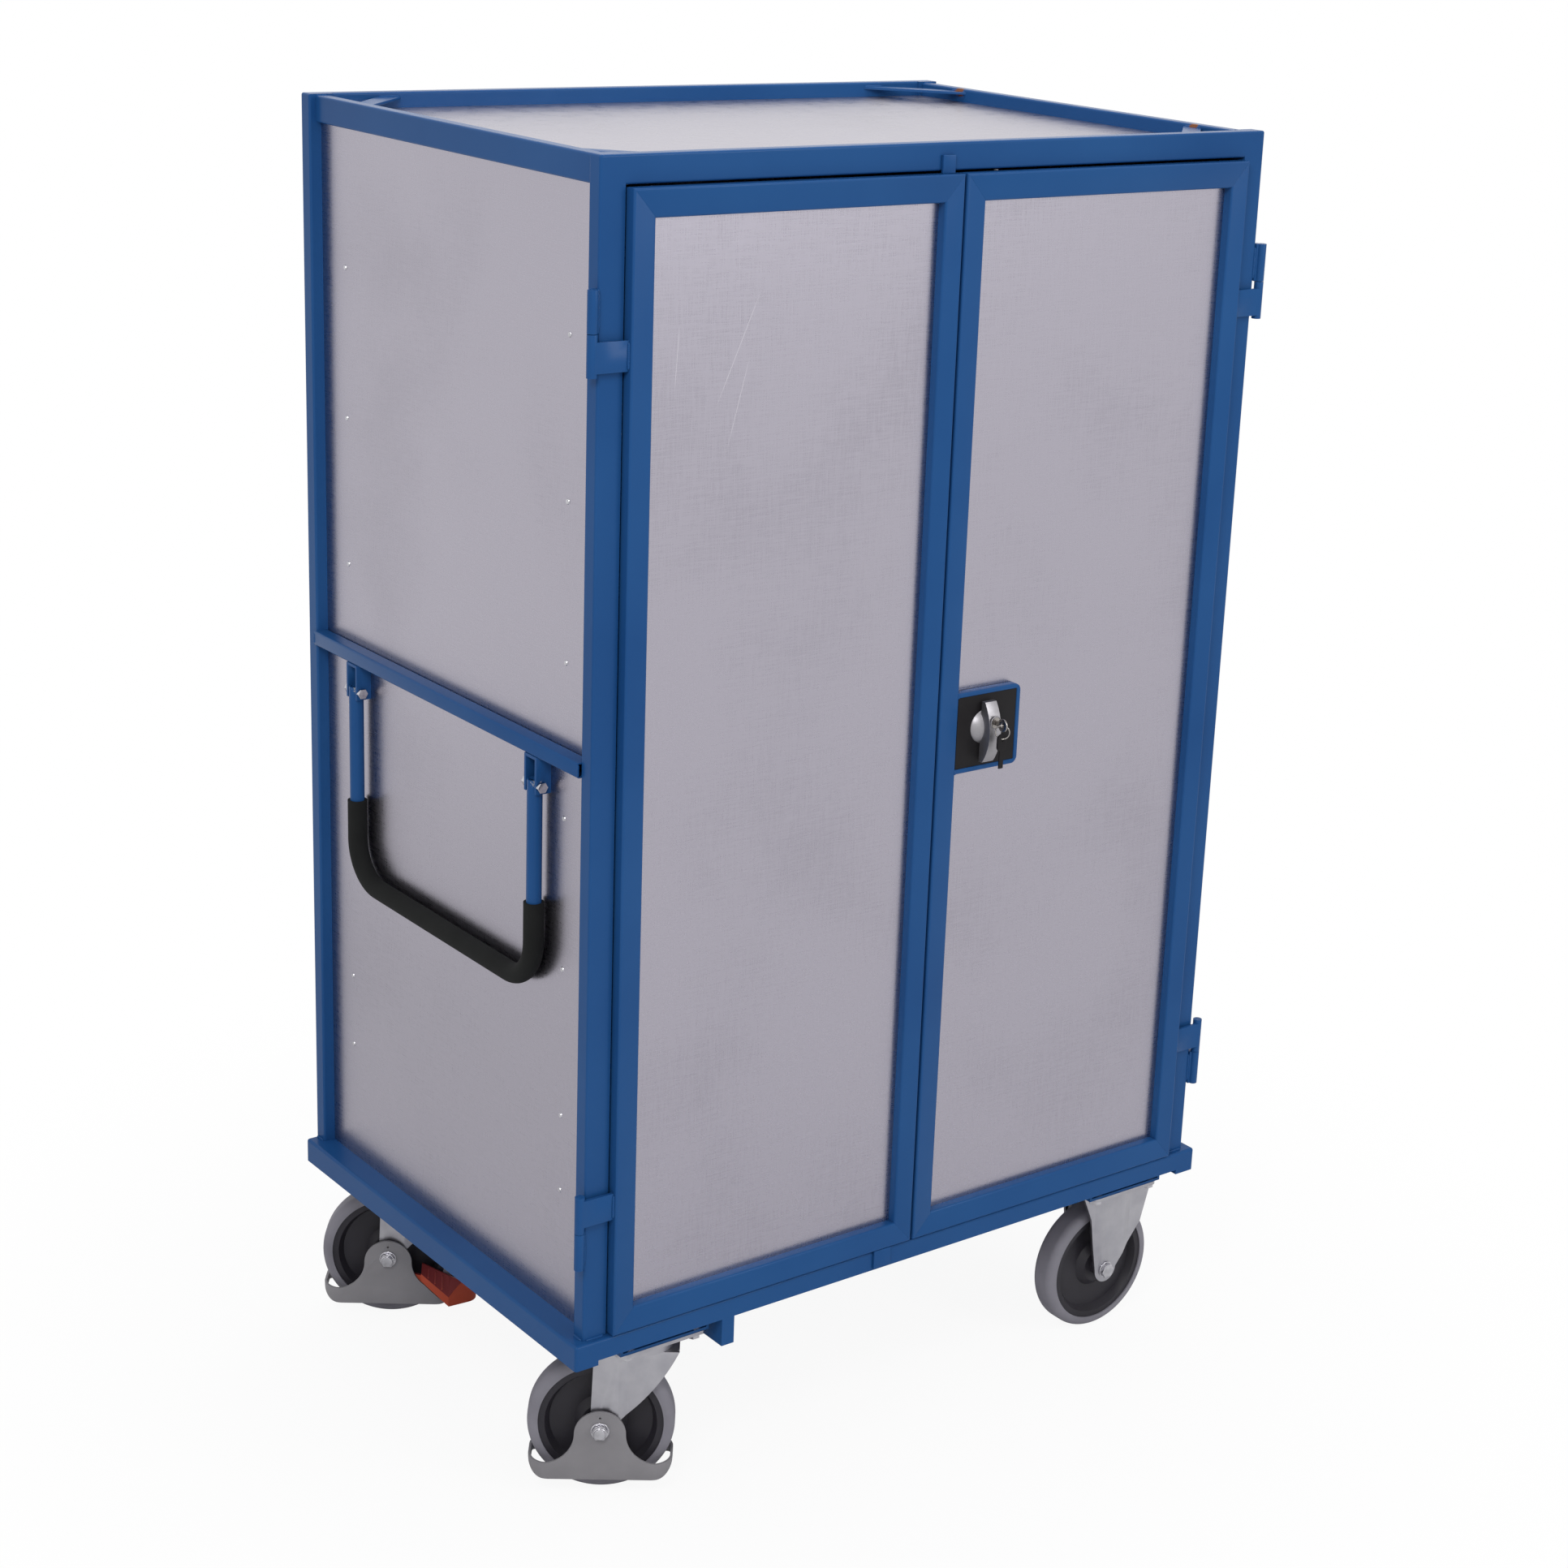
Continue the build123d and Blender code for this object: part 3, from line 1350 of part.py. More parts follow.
# Swivel casters on the left: plates, then fork, guard and axle of each
swivel_upright_places = [Location((swivel_x, caster_y[end], 0)) for end in ("front", "rear")]
write_node(placed(swivel_plate_shape(), *swivel_upright_places), "swivel_plates")
for end in ("front", "rear"):
    write_node(placed(swivel_fork_shape(), swivel_place(end)), f"swivel_fork_{end}")
    write_node(placed(guard_shape(end == "rear"), trailing_place(end)), f"wheel_guard_{end}")
    write_node(placed(axle_shape(guard_half_width), trailing_place(end)), f"swivel_axle_{end}")
write_node(placed(pedal_shape(), trailing_place("rear")), "brake_pedal")

# Wheels: a rim and a tyre each
for end in ("front", "rear"):
    for side_name, place in (("left", trailing_place(end)), ("right", fixed_place(end))):
        write_node(placed(rim_shape(), place), f"rim_{end}_{side_name}")
        write_node(placed(tyre_shape(), place), f"tyre_{end}_{side_name}")

# Caster bolts: heads under the plates, nuts inside the carriers
with BuildPart() as caster_bolts:
    head_low = plate_low_z - plate_bolt_head_height
    nut_low = caster_height + carrier_wall
    spans = (
        (head_low, plate_bolt_head_height, plate_bolt_head),
        (nut_low, plate_nut_height, plate_bolt_head),
    )
    for low_z, height, across in spans:
        with BuildSketch(Plane.XY.offset(low_z)):
            with Locations(*caster_spots):
                with GridLocations(plate_bolt_length, plate_bolt_width, 2, 2):
                    RegularPolygon(across / 2, 6, major_radius=False)
        extrude(amount=height)
    with BuildSketch(Plane.XY.offset(plate_low_z)):
        with Locations(*caster_spots):
            with GridLocations(plate_bolt_length, plate_bolt_width, 2, 2):
                Circle(plate_bolt_radius)
    extrude(amount=nut_low - plate_low_z)
write_node(caster_bolts.part, "caster_bolts")
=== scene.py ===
# %% [markdown]
# A tall cabinet trolley: a welded blue tube frame, zinc sheet walls, two doors with a rod lock, a folding
# push handle and four casters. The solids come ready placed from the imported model, so this lesson gives
# each surface its finish, adds the weld beads and small trim that the solids leave out, and lights it.

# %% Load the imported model
import json
import math

import bmesh
import bpy
import numpy as np
from mathutils import Matrix, Vector


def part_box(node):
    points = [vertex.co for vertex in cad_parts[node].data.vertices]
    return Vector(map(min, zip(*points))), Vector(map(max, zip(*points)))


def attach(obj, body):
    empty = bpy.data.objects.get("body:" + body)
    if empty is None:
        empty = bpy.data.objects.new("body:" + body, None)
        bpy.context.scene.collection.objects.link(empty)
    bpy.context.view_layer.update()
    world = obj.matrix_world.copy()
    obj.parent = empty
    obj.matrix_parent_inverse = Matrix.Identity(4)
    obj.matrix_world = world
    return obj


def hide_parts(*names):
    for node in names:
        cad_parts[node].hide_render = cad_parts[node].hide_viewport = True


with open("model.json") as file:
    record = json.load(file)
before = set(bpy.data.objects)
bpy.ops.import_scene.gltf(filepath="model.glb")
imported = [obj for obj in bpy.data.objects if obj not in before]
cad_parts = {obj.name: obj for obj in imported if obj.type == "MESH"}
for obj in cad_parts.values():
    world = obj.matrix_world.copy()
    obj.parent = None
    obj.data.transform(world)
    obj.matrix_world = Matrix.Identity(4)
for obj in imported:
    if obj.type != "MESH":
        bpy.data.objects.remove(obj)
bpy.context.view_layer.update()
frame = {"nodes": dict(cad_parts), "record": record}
nodes = frame["nodes"]

# %% [markdown]
# Places that the added pieces share with the solids. They could be typed in, but trim has to follow the
# solids, so they are read from the solids' boxes. They are in metres, in the model's own frame: +Z up, the
# doors face -Y, and the floor is at zero.

# %% Places on the cabinet
MM = 0.001
base_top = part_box("floor_sheet")[1][2]
posts_low, posts_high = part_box("corner_posts")
half_width = posts_high[0]
front_y = posts_low[1]
back_y = posts_high[1]
top_z = posts_high[2]
centre_y = (front_y + back_y) / 2
print("frame", half_width, front_y, back_y, base_top, top_z)


# %% [markdown]
# Colours are written as sRGB hex values, the way a paint chart gives them, and one function turns them to
# the linear values that Blender mixes with. A material is a graph of nodes. It could be drawn by hand in
# the shader editor, but a script gives the same graph each time, and one function adds a node with its
# settings and its links.

# %% Colour and node helpers
def to_linear(hex_colour):
    """Turn "#rrggbb" into linear red, green, blue and alpha, by the sRGB curve."""
    parts = [int(hex_colour[i:i + 2], 16) / 255 for i in (1, 3, 5)]
    return tuple(c / 12.92 if c <= 0.04045 else ((c + 0.055) / 1.055) ** 2.4 for c in parts) + (1.0,)


def add(tree, kind, settings=None, values=None, links=None):
    """Add a node, set its properties and input values, and link its inputs from (node, output) pairs."""
    node = tree.nodes.new(kind)
    for name, value in (settings or {}).items():
        setattr(node, name, value)
    for name, value in (values or {}).items():
        node.inputs[name].default_value = value
    for name, (source, output) in (links or {}).items():
        tree.links.new(source.outputs[output], node.inputs[name])
    return node


def new_finish(name):
    """Start a material with a Principled shader, and give back the material, its tree and the shader."""
    finish = bpy.data.materials.new(name)
    finish.use_nodes = True
    tree = finish.node_tree
    return finish, tree, tree.nodes["Principled BSDF"]


def shade(ramp, stops):
    """Set a colour ramp's stops from (position, hex colour) pairs."""
    elements = ramp.color_ramp.elements
    while len(elements) < len(stops):
        elements.new(0.5)
    for element, (place, colour) in zip(elements, stops):
        element.position = place
        element.color = to_linear(colour)


print("middle grey in linear", round(to_linear("#808080")[0], 3))


# %% [markdown]
# The frame's paint is a blue powder coat on steel tube. Powder melts into a skin that is never quite flat,
# so the eye sees a soft gloss broken by orange peel, waves a few millimetres long. At the welds of the
# right-hand braces and at the tops of the push handle's arms the skin is broken, and rust or bare metal
# shows in ragged spots. A picture of the wear could be wrapped round the tubes, but each tube would need a
# UV map, so a spot is worked out in place, as a distance from a point, frayed by noise.

# %% Blue powder coat
def powder_coat(spots):
    """Satin blue skin: noise of 3 mm for the orange peel and of 250 mm for the drift in tone. Each spot
    of (place, radius, colour) shows where 0.5 - distance / radius + noise of 2 mm is above about 0.4."""
    finish, tree, skin = new_finish("blue_powder_coat_on_steel")
    place = add(tree, "ShaderNodeTexCoord")
    drift = add(tree, "ShaderNodeTexNoise", values={"Scale": 1 / (250 * MM), "Detail": 3.0},
                links={"Vector": (place, "Object")})
    tone = add(tree, "ShaderNodeValToRGB", links={"Fac": (drift, "Fac")})
    shade(tone, [(0.3, "#1D4A80"), (0.7, "#245288")])
    fray = add(tree, "ShaderNodeTexNoise", values={"Scale": 1 / (2 * MM), "Detail": 2.0},
               links={"Vector": (place, "Object")})
    colour = tone
    for spot, radius, hue in spots:
        gap = add(tree, "ShaderNodeVectorMath", settings={"operation": "DISTANCE"}, values={1: spot},
                  links={0: (place, "Object")})
        near = add(tree, "ShaderNodeMath", settings={"operation": "MULTIPLY_ADD"},
                   values={1: -1 / radius, 2: 0.5}, links={0: (gap, "Value")})
        broken = add(tree, "ShaderNodeMath", settings={"operation": "ADD"},
                     links={0: (near, 0), 1: (fray, "Fac")})
        mask = add(tree, "ShaderNodeMapRange", values={"From Min": 0.33, "From Max": 0.42},
                   links={"Value": (broken, 0)})
        colour = add(tree, "ShaderNodeMixRGB", values={"Color2": to_linear(hue)},
                     links={"Fac": (mask, "Result"), "Color1": (colour, "Color")})
    peel = add(tree, "ShaderNodeTexNoise", values={"Scale": 1 / (3 * MM), "Detail": 2.0},
               links={"Vector": (place, "Object")})
    bump = add(tree, "ShaderNodeBump", values={"Strength": 0.12, "Distance": 0.4 * MM},
               links={"Height": (peel, "Fac")})
    tree.links.new(colour.outputs["Color"], skin.inputs["Base Color"])
    tree.links.new(bump.outputs["Normal"], skin.inputs["Normal"])
    skin.inputs["Roughness"].default_value = 0.26
    skin.inputs["Specular IOR Level"].default_value = 0.1
    return finish


rim_inner_x = half_width - 29 * MM
rim_inner_y = (back_y - front_y) / 2 - 20 * MM
handle_low, handle_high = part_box("push_handle_tube")
arm_x = (handle_low[0] + handle_high[0]) / 2
rust, dark_rust, bare_steel = "#7A4A2E", "#74452B", "#8E949E"
worn_spots = [
    ((rim_inner_x - 95 * MM, centre_y - rim_inner_y, top_z - 6 * MM), 12 * MM, rust),
    ((rim_inner_x, centre_y - rim_inner_y + 90 * MM, top_z - 5 * MM), 12 * MM, rust),
    ((rim_inner_x, centre_y + rim_inner_y - 95 * MM, top_z - 5 * MM), 14 * MM, dark_rust),
    ((arm_x, handle_low[1] + 4 * MM, handle_high[2] - 3 * MM), 12 * MM, bare_steel),
    ((arm_x, handle_high[1] - 16 * MM, handle_high[2] - 3 * MM), 12 * MM, bare_steel),
]
finishes = {"blue_enamel": powder_coat(worn_spots)}
print("blue powder coat, worn spots", len(worn_spots))


# %% [markdown]
# The walls are zinc coated steel sheet, rolled and lightly brushed. The rolling leaves a fine grain along
# the sheet and a weaker one across it, like linen. The coating drifts a little in tone over the sheet, and
# handling has left a few long hairline scratches on the upper left door. Noise would strew short specks,
# so each scratch is a line worked out from its two ends.

# %% Zinc coated sheet
def zinc_sheet(scratches):
    """Rolled grain: noise stretched to 30 mm up and across and drawn 1 mm wide so that it still shows, on
    a drift in tone of 300 mm. A scratch from (x0, z0) to (x1, z1) in the plane at y shows within 0.4 mm of
    that line, and fades out between a quarter and a half of its length from its middle."""
    grain_width, grain_length, scratch_half = 1 * MM, 30 * MM, 0.4 * MM
    finish, tree, skin = new_finish("zinc_coated_sheet_rolled")
    place = add(tree, "ShaderNodeTexCoord")
    along = add(tree, "ShaderNodeMapping",
                values={"Scale": (1 / grain_width, 1 / grain_width, 1 / grain_length)},
                links={"Vector": (place, "Object")})
    across = add(tree, "ShaderNodeMapping",
                 values={"Scale": (1 / grain_length, 1 / grain_length, 1 / grain_width)},
                 links={"Vector": (place, "Object")})
    warp = add(tree, "ShaderNodeTexNoise", values={"Scale": 1.0, "Detail": 1.0},
               links={"Vector": (along, "Vector")})
    weft = add(tree, "ShaderNodeTexNoise", values={"Scale": 1.0, "Detail": 1.0},
               links={"Vector": (across, "Vector")})
    linen = add(tree, "ShaderNodeMath", settings={"operation": "ADD"},
                links={0: (warp, "Fac"), 1: (weft, "Fac")})
    cloud = add(tree, "ShaderNodeTexNoise", values={"Scale": 1 / (300 * MM), "Detail": 2.0},
                links={"Vector": (place, "Object")})
    mixed = add(tree, "ShaderNodeMath", settings={"operation": "MULTIPLY_ADD"}, values={1: 0.5},
                links={0: (linen, 0), 2: (cloud, "Fac")})
    colour = add(tree, "ShaderNodeValToRGB", links={"Fac": (mixed, 0)})
    shade(colour, [(0.7, "#A5A1AC"), (1.0, "#AEAAB5")])
    for (x0, z0), (x1, z1), y in scratches:
        length = math.hypot(x1 - x0, z1 - z0)
        normal = Vector(((z1 - z0) / length, 0.0, (x0 - x1) / length))
        middle = Vector(((x0 + x1) / 2, y, (z0 + z1) / 2))
        offset = add(tree, "ShaderNodeVectorMath", settings={"operation": "DOT_PRODUCT"},
                     values={1: normal}, links={0: (place, "Object")})
        off_line = add(tree, "ShaderNodeMath", settings={"operation": "SUBTRACT"},
                       values={1: normal.dot(middle)}, links={0: (offset, "Value")})
        on_line = add(tree, "ShaderNodeMath", settings={"operation": "COMPARE"},
                      values={1: 0.0, 2: scratch_half}, links={0: (off_line, 0)})
        reach = add(tree, "ShaderNodeVectorMath", settings={"operation": "DISTANCE"}, values={1: middle},
                    links={0: (place, "Object")})
        within = add(tree, "ShaderNodeMapRange",
                     values={"From Min": length / 2, "From Max": length / 4, "To Max": 0.5},
                     links={"Value": (reach, "Value")})
        drawn = add(tree, "ShaderNodeMath", settings={"operation": "MULTIPLY"},
                    links={0: (on_line, 0), 1: (within, "Result")})
        colour = add(tree, "ShaderNodeMixRGB", values={"Color2": to_linear("#DEDBE2")},
                     links={"Fac": (drawn, 0), "Color1": (colour, "Color")})
    gloss = add(tree, "ShaderNodeMapRange",
                values={"From Min": 0.6, "From Max": 1.4, "To Min": 0.25, "To Max": 0.33},
                links={"Value": (linen, 0)})
    bump = add(tree, "ShaderNodeBump", values={"Strength": 0.03, "Distance": 0.2 * MM},
               links={"Height": (linen, 0)})
    tree.links.new(colour.outputs["Color"], skin.inputs["Base Color"])
    tree.links.new(gloss.outputs["Result"], skin.inputs["Roughness"])
    tree.links.new(bump.outputs["Normal"], skin.inputs["Normal"])
    skin.inputs["Metallic"].default_value = 1.0
    return finish


sheet_x, sheet_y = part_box("door_left_sheet")[0][:2]
scratches = [
    ((sheet_x + 0.165, 1.640), (sheet_x + 0.098, 1.490), sheet_y),
    ((sheet_x + 0.045, 1.600), (sheet_x + 0.040, 1.520), sheet_y),
    ((sheet_x + 0.150, 1.560), (sheet_x + 0.118, 1.440), sheet_y),
]
finishes["zinc_sheet"] = zinc_sheet(scratches)
print("zinc coated sheet, scratches", len(scratches))


# %% [markdown]
# The caster forks are pressed steel with a bright zinc plate, and the bolts and nuts are turned steel with
# the same plate. Both show a soft blotch in their gloss, and the fasteners are smoother. The lock handle
# is a casting under silver lacquer, duller and more even, and the keys are brass under nickel, a warmer
# grey. Each could have its own graph of nodes, but only tone, gloss and blotch differ, so one function
# makes all four.

# %% Plated pressings, fasteners, lock and keys
def plated(name, colour_low, colour_high, rough_low, rough_high, blotch):
    """Bare metal whose tone and gloss drift with noise of the given blotch size in metres."""
    finish, tree, skin = new_finish(name)
    place = add(tree, "ShaderNodeTexCoord")
    drift = add(tree, "ShaderNodeTexNoise", values={"Scale": 1 / blotch, "Detail": 4.0},
                links={"Vector": (place, "Object")})
    tone = add(tree, "ShaderNodeValToRGB", links={"Fac": (drift, "Fac")})
    shade(tone, [(0.3, colour_low), (0.7, colour_high)])
    gloss = add(tree, "ShaderNodeMapRange", values={"From Min": 0.3, "From Max": 0.7, "To Min": rough_low,
                                                    "To Max": rough_high}, links={"Value": (drift, "Fac")})
    tree.links.new(tone.outputs["Color"], skin.inputs["Base Color"])
    tree.links.new(gloss.outputs["Result"], skin.inputs["Roughness"])
    skin.inputs["Metallic"].default_value = 1.0
    return finish


finishes.update({
    "zinc_pressing": plated("zinc_plated_pressing", "#A6A5AC", "#B8B7BC",
                            rough_low=0.28, rough_high=0.40, blotch=30 * MM),
    "bright_fastener": plated("zinc_plated_turned_steel", "#B0AFB4", "#CBCACF",
                              rough_low=0.12, rough_high=0.22, blotch=8 * MM),
    "lock_silver": plated("die_cast_silver_lacquer", "#9A989C", "#A4A2A6",
                          rough_low=0.40, rough_high=0.48, blotch=2 * MM),
    "key_metal": plated("nickel_plated_brass", "#8C8886", "#A6A29E",
                        rough_low=0.20, rough_high=0.35, blotch=4 * MM),
})
print("finishes with the plated metals", len(finishes))


# %% [markdown]
# Foam, rubber and moulded plastic are not metals. Foam shows its cells, the mould leaves an eroded grain on
# the guards, the rims and the lock plate, and the tyre is a smooth grey rubber with a little dust. The
# grain could be cut into the mesh, but it is about a millimetre wide and far shallower, so it is a bump.

# %% Moulded plastics, foam and rubber
def moulded(name, colour_low, colour_high, rough, grain, depth, shine, cells=False):
    """Dull skin with a grain of the given size and depth in metres on a drift in tone of 60 mm. Shine is
    the specular level, and cells picks foam cells over grit."""
    finish, tree, skin = new_finish(name)
    place = add(tree, "ShaderNodeTexCoord")
    kind = "ShaderNodeTexVoronoi" if cells else "ShaderNodeTexNoise"
    height = "Distance" if cells else "Fac"
    grit = add(tree, kind, values={"Scale": 1 / grain}, links={"Vector": (place, "Object")})
    drift = add(tree, "ShaderNodeTexNoise", values={"Scale": 1 / (60 * MM), "Detail": 3.0},
                links={"Vector": (place, "Object")})
    tone = add(tree, "ShaderNodeValToRGB", links={"Fac": (drift, "Fac")})
    shade(tone, [(0.3, colour_low), (0.7, colour_high)])
    bump = add(tree, "ShaderNodeBump", values={"Strength": 0.3, "Distance": depth},
               links={"Height": (grit, height)})
    tree.links.new(tone.outputs["Color"], skin.inputs["Base Color"])
    tree.links.new(bump.outputs["Normal"], skin.inputs["Normal"])
    skin.inputs["Roughness"].default_value = rough
    skin.inputs["Specular IOR Level"].default_value = shine
    return finish


finishes.update({
    "grip_foam": moulded("foam_sleeve", "#141515", "#1B1C1C", rough=0.85, grain=1.2 * MM, depth=0.6 * MM,
                         shine=0.2, cells=True),
    "black_plastic": moulded("black_moulded_plastic", "#1B191B", "#212022", rough=0.6, grain=0.9 * MM,
                             depth=0.2 * MM, shine=0.15),
    "guard_plastic": moulded("grey_moulded_plastic", "#817F83", "#8B898D", rough=0.55, grain=1.0 * MM,
                             depth=0.3 * MM, shine=0.4),
    "rim_plastic": moulded("dark_moulded_plastic", "#28262C", "#2E2C33", rough=0.42, grain=1.0 * MM,
                           depth=0.2 * MM, shine=0.3),
    "tyre_rubber": moulded("grey_elastic_rubber", "#7A7881", "#88868F", rough=0.6, grain=1.5 * MM,
                           depth=0.2 * MM, shine=0.3),
})
print("finishes with foam, plastics and rubber", len(finishes))


# %% [markdown]
# The brake pedal is moulded in red plastic. Its top is darker than its sides: painted shade. Two materials
# could meet at the edge, but the edge is rounded, so one material reads the surface's direction and paints
# shade on what faces up.

# %% Red pedal plastic
def pedal_red():
    """Orange red sides that turn to a dark red of painted shade where the surface faces up, with a grain of
    1.2 mm.
    """
    finish, tree, skin = new_finish("moulded_red_plastic_painted_shade")
    place = add(tree, "ShaderNodeTexCoord")
    facing = add(tree, "ShaderNodeNewGeometry")
    lean = add(tree, "ShaderNodeSeparateXYZ", links={"Vector": (facing, "Normal")})
    # The ramp paints shade: a darker red where the surface faces up.
    tone = add(tree, "ShaderNodeValToRGB", links={"Fac": (lean, "Z")})
    shade(tone, [(0.2, "#BE4A2B"), (0.4, "#872B2B")])
    grit = add(tree, "ShaderNodeTexNoise", values={"Scale": 1 / (1.2 * MM)},
               links={"Vector": (place, "Object")})
    bump = add(tree, "ShaderNodeBump", values={"Strength": 0.3, "Distance": 0.3 * MM},
               links={"Height": (grit, "Fac")})
    tree.links.new(tone.outputs["Color"], skin.inputs["Base Color"])
    tree.links.new(bump.outputs["Normal"], skin.inputs["Normal"])
    skin.inputs["Roughness"].default_value = 0.55
    return finish


finishes["pedal_plastic"] = pedal_red()
print("finishes with the pedal's red", len(finishes))

# %% [markdown]
# Each solid names a material slot in the record. The finishes could be set solid by solid, but the table
# from slot to finish dresses all of them in one loop.

# %% Give every solid its finish
slot_of = {part["node"]: part["material_slot"] for part in frame["record"]["subparts"]}
for name, solid in nodes.items():
    solid.material_slots[0].material = finishes[slot_of[name]]
print("dressed solids", len(nodes))

# %% [markdown]
# Real pressings, bolts and castings have no knife edges: each edge is broken by the die, the lathe or the
# mould, and that thin rounding is what catches the light. It could be painted by a shader, but then it would
# not be in the mesh, so a copy of the solid gets a real Bevel and stands for the solid.

# %% Round the edges of small parts
body_of = {name: body for body, names in frame["record"]["behaviour"]["bodies"].items() for name in names}


def softened(name, width, turn=35):
    """A copy of a solid whose edges are rounded where they turn by more than the given degrees. The solid's
    loose triangles are merged and its flat ones joined first, so that only true edges are left."""
    mesh = nodes[name].data.copy()
    made = bmesh.new()
    made.from_mesh(mesh)
    bmesh.ops.remove_doubles(made, verts=made.verts, dist=1e-6)
    bmesh.ops.dissolve_limit(made, angle_limit=math.radians(0.5), verts=made.verts, edges=made.edges)
    made.to_mesh(mesh)
    made.free()
    mesh.polygons.foreach_set("use_smooth", np.ones(len(mesh.polygons), dtype=bool))
    piece = bpy.data.objects.new(f"{name}_rounded", mesh)
    bpy.context.scene.collection.objects.link(piece)
    bevel = piece.modifiers.new("edges", "BEVEL")
    bevel.width = width * MM
    bevel.segments = 3
    bevel.limit_method = "ANGLE"
    bevel.angle_limit = math.radians(turn)
    bevel.harden_normals = True
    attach(piece, body_of[name])
    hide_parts(name)
    return piece


edge_widths = {
    "lock_handle": 1.6, "lock_box": 1.6, "lock_plate": 0.8, "key": 0.5, "spare_key": 0.8,
    "handle_lugs": 1.0, "handle_bolts": 0.7, "swivel_axle_front": 0.8, "swivel_axle_rear": 0.8,
    "fixed_axles": 0.8, "door_left_hinges": 0.8, "door_right_hinges": 0.8, "post_hinges": 0.8,
    "door_left_stop_tabs": 0.8, "corner_braces": 0.6, "brake_pedal": 2.0, "handle_rail": 1.2,
    "door_left_frame": 1.8, "door_right_frame": 1.8,
    "wheel_guard_front": 1.2, "wheel_guard_rear": 1.2,
}
fork_names = ("fixed_forks", "swivel_fork_front", "swivel_fork_rear")
rounded = [softened(name, width) for name, width in edge_widths.items()]
rounded += [softened(name, 1.6, turn=12) for name in fork_names]
print("rounded solids", len(rounded))


# %% [markdown]
# The trim that the solids leave out is made of surfaces: a ring of points is carried along a path, and
# quads join each ring to the next. Primitives and modifiers could make them one at a time, but numpy works
# out the points of many at once, so two helpers turn such arrays into a piece.

# %% Meshes from arrays
def piece_from(name, points, quads, body, slot):
    """Make a smooth mesh piece from points and quads, merge its poles, and let it ride on a body."""
    mesh = bpy.data.meshes.new(name)
    mesh.from_pydata(points.tolist(), [], quads.tolist())
    made = bmesh.new()
    made.from_mesh(mesh)
    bmesh.ops.remove_doubles(made, verts=made.verts, dist=1e-6)
    bmesh.ops.recalc_face_normals(made, faces=made.faces)
    made.to_mesh(mesh)
    made.free()
    mesh.polygons.foreach_set("use_smooth", np.ones(len(mesh.polygons), dtype=bool))
    mesh.materials.append(finishes[slot])
    piece = bpy.data.objects.new(name, mesh)
    bpy.context.scene.collection.objects.link(piece)
    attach(piece, body)
    return piece


def tube_quads(count, rings, sides):
    """Quads of count tubes, each of rings by sides points, closed round and open at the ends."""
    tube, ring, side = np.meshgrid(np.arange(count), np.arange(rings - 1), np.arange(sides), indexing="ij")
    first = (tube * rings + ring) * sides
    quads = np.stack([first + side, first + (side + 1) % sides, first + sides + (side + 1) % sides,
                      first + sides + side], axis=-1)
    return quads.reshape(-1, 4)


# %% [markdown]
# The frame's tubes are joined by short fillet welds, run by hand and painted over. A bead could be sculpted
# or displaced, but it is really a row of frozen ripples, so it is worked out as a tube whose radius swells
# with each ripple and closes at both ends. Half of each tube lies inside the joint that it fills.

# %% Weld beads
def weld_beads(name, seams, body, swell=0.13, slot="blue_enamel", ripple=2.6 * MM, rings=49, sides=10):
    """Beads along seams of (start, end, radius). At share u of a bead's length L the radius is
    r (1 + swell cos(2 pi u L / ripple)) sqrt(1 - (2u - 1)^8), so it swells with each ripple and closes
    in a pole at both ends. The number of ripples is rounded to a whole one."""
    start = np.array([seam[0] for seam in seams])
    end = np.array([seam[1] for seam in seams])
    radius = np.array([seam[2] for seam in seams])
    run = end - start
    length = np.linalg.norm(run, axis=1)
    along = run / length[:, None]
    aside = np.cross(along, np.roll(np.eye(3)[np.argmax(np.abs(along), axis=1)], 1, axis=1))
    aside /= np.linalg.norm(aside, axis=1)[:, None]
    above = np.cross(along, aside)
    u = np.linspace(0, 1, rings)
    waves = np.round(length / ripple)[:, None] * u[None, :]
    rippled = radius[:, None] * (1 + swell * np.cos(2 * np.pi * waves))
    girth = rippled * np.sqrt(1 - (2 * u - 1) ** 8)[None, :]
    t = np.linspace(0, 2 * np.pi, sides, endpoint=False)
    round_it = np.cos(t)[None, :, None] * aside[:, None, :] + np.sin(t)[None, :, None] * above[:, None, :]
    middle = start[:, None, :] + u[None, :, None] * run[:, None, :]
    points = middle[:, :, None, :] + girth[:, :, None, None] * round_it[:, None, :, :]
    return piece_from(name, points.reshape(-1, 3), tube_quads(len(seams), rings, sides), body, slot)


# %% [markdown]
# On the frame the beads lie at the posts' feet, where the side rails meet the posts at the top, along the
# hinges' leaves, at the ends of the corner braces and at both ends of the push handle's rail. They could be
# placed one by one, but the frame is the same on both sides, so one loop over the sides places most of them.

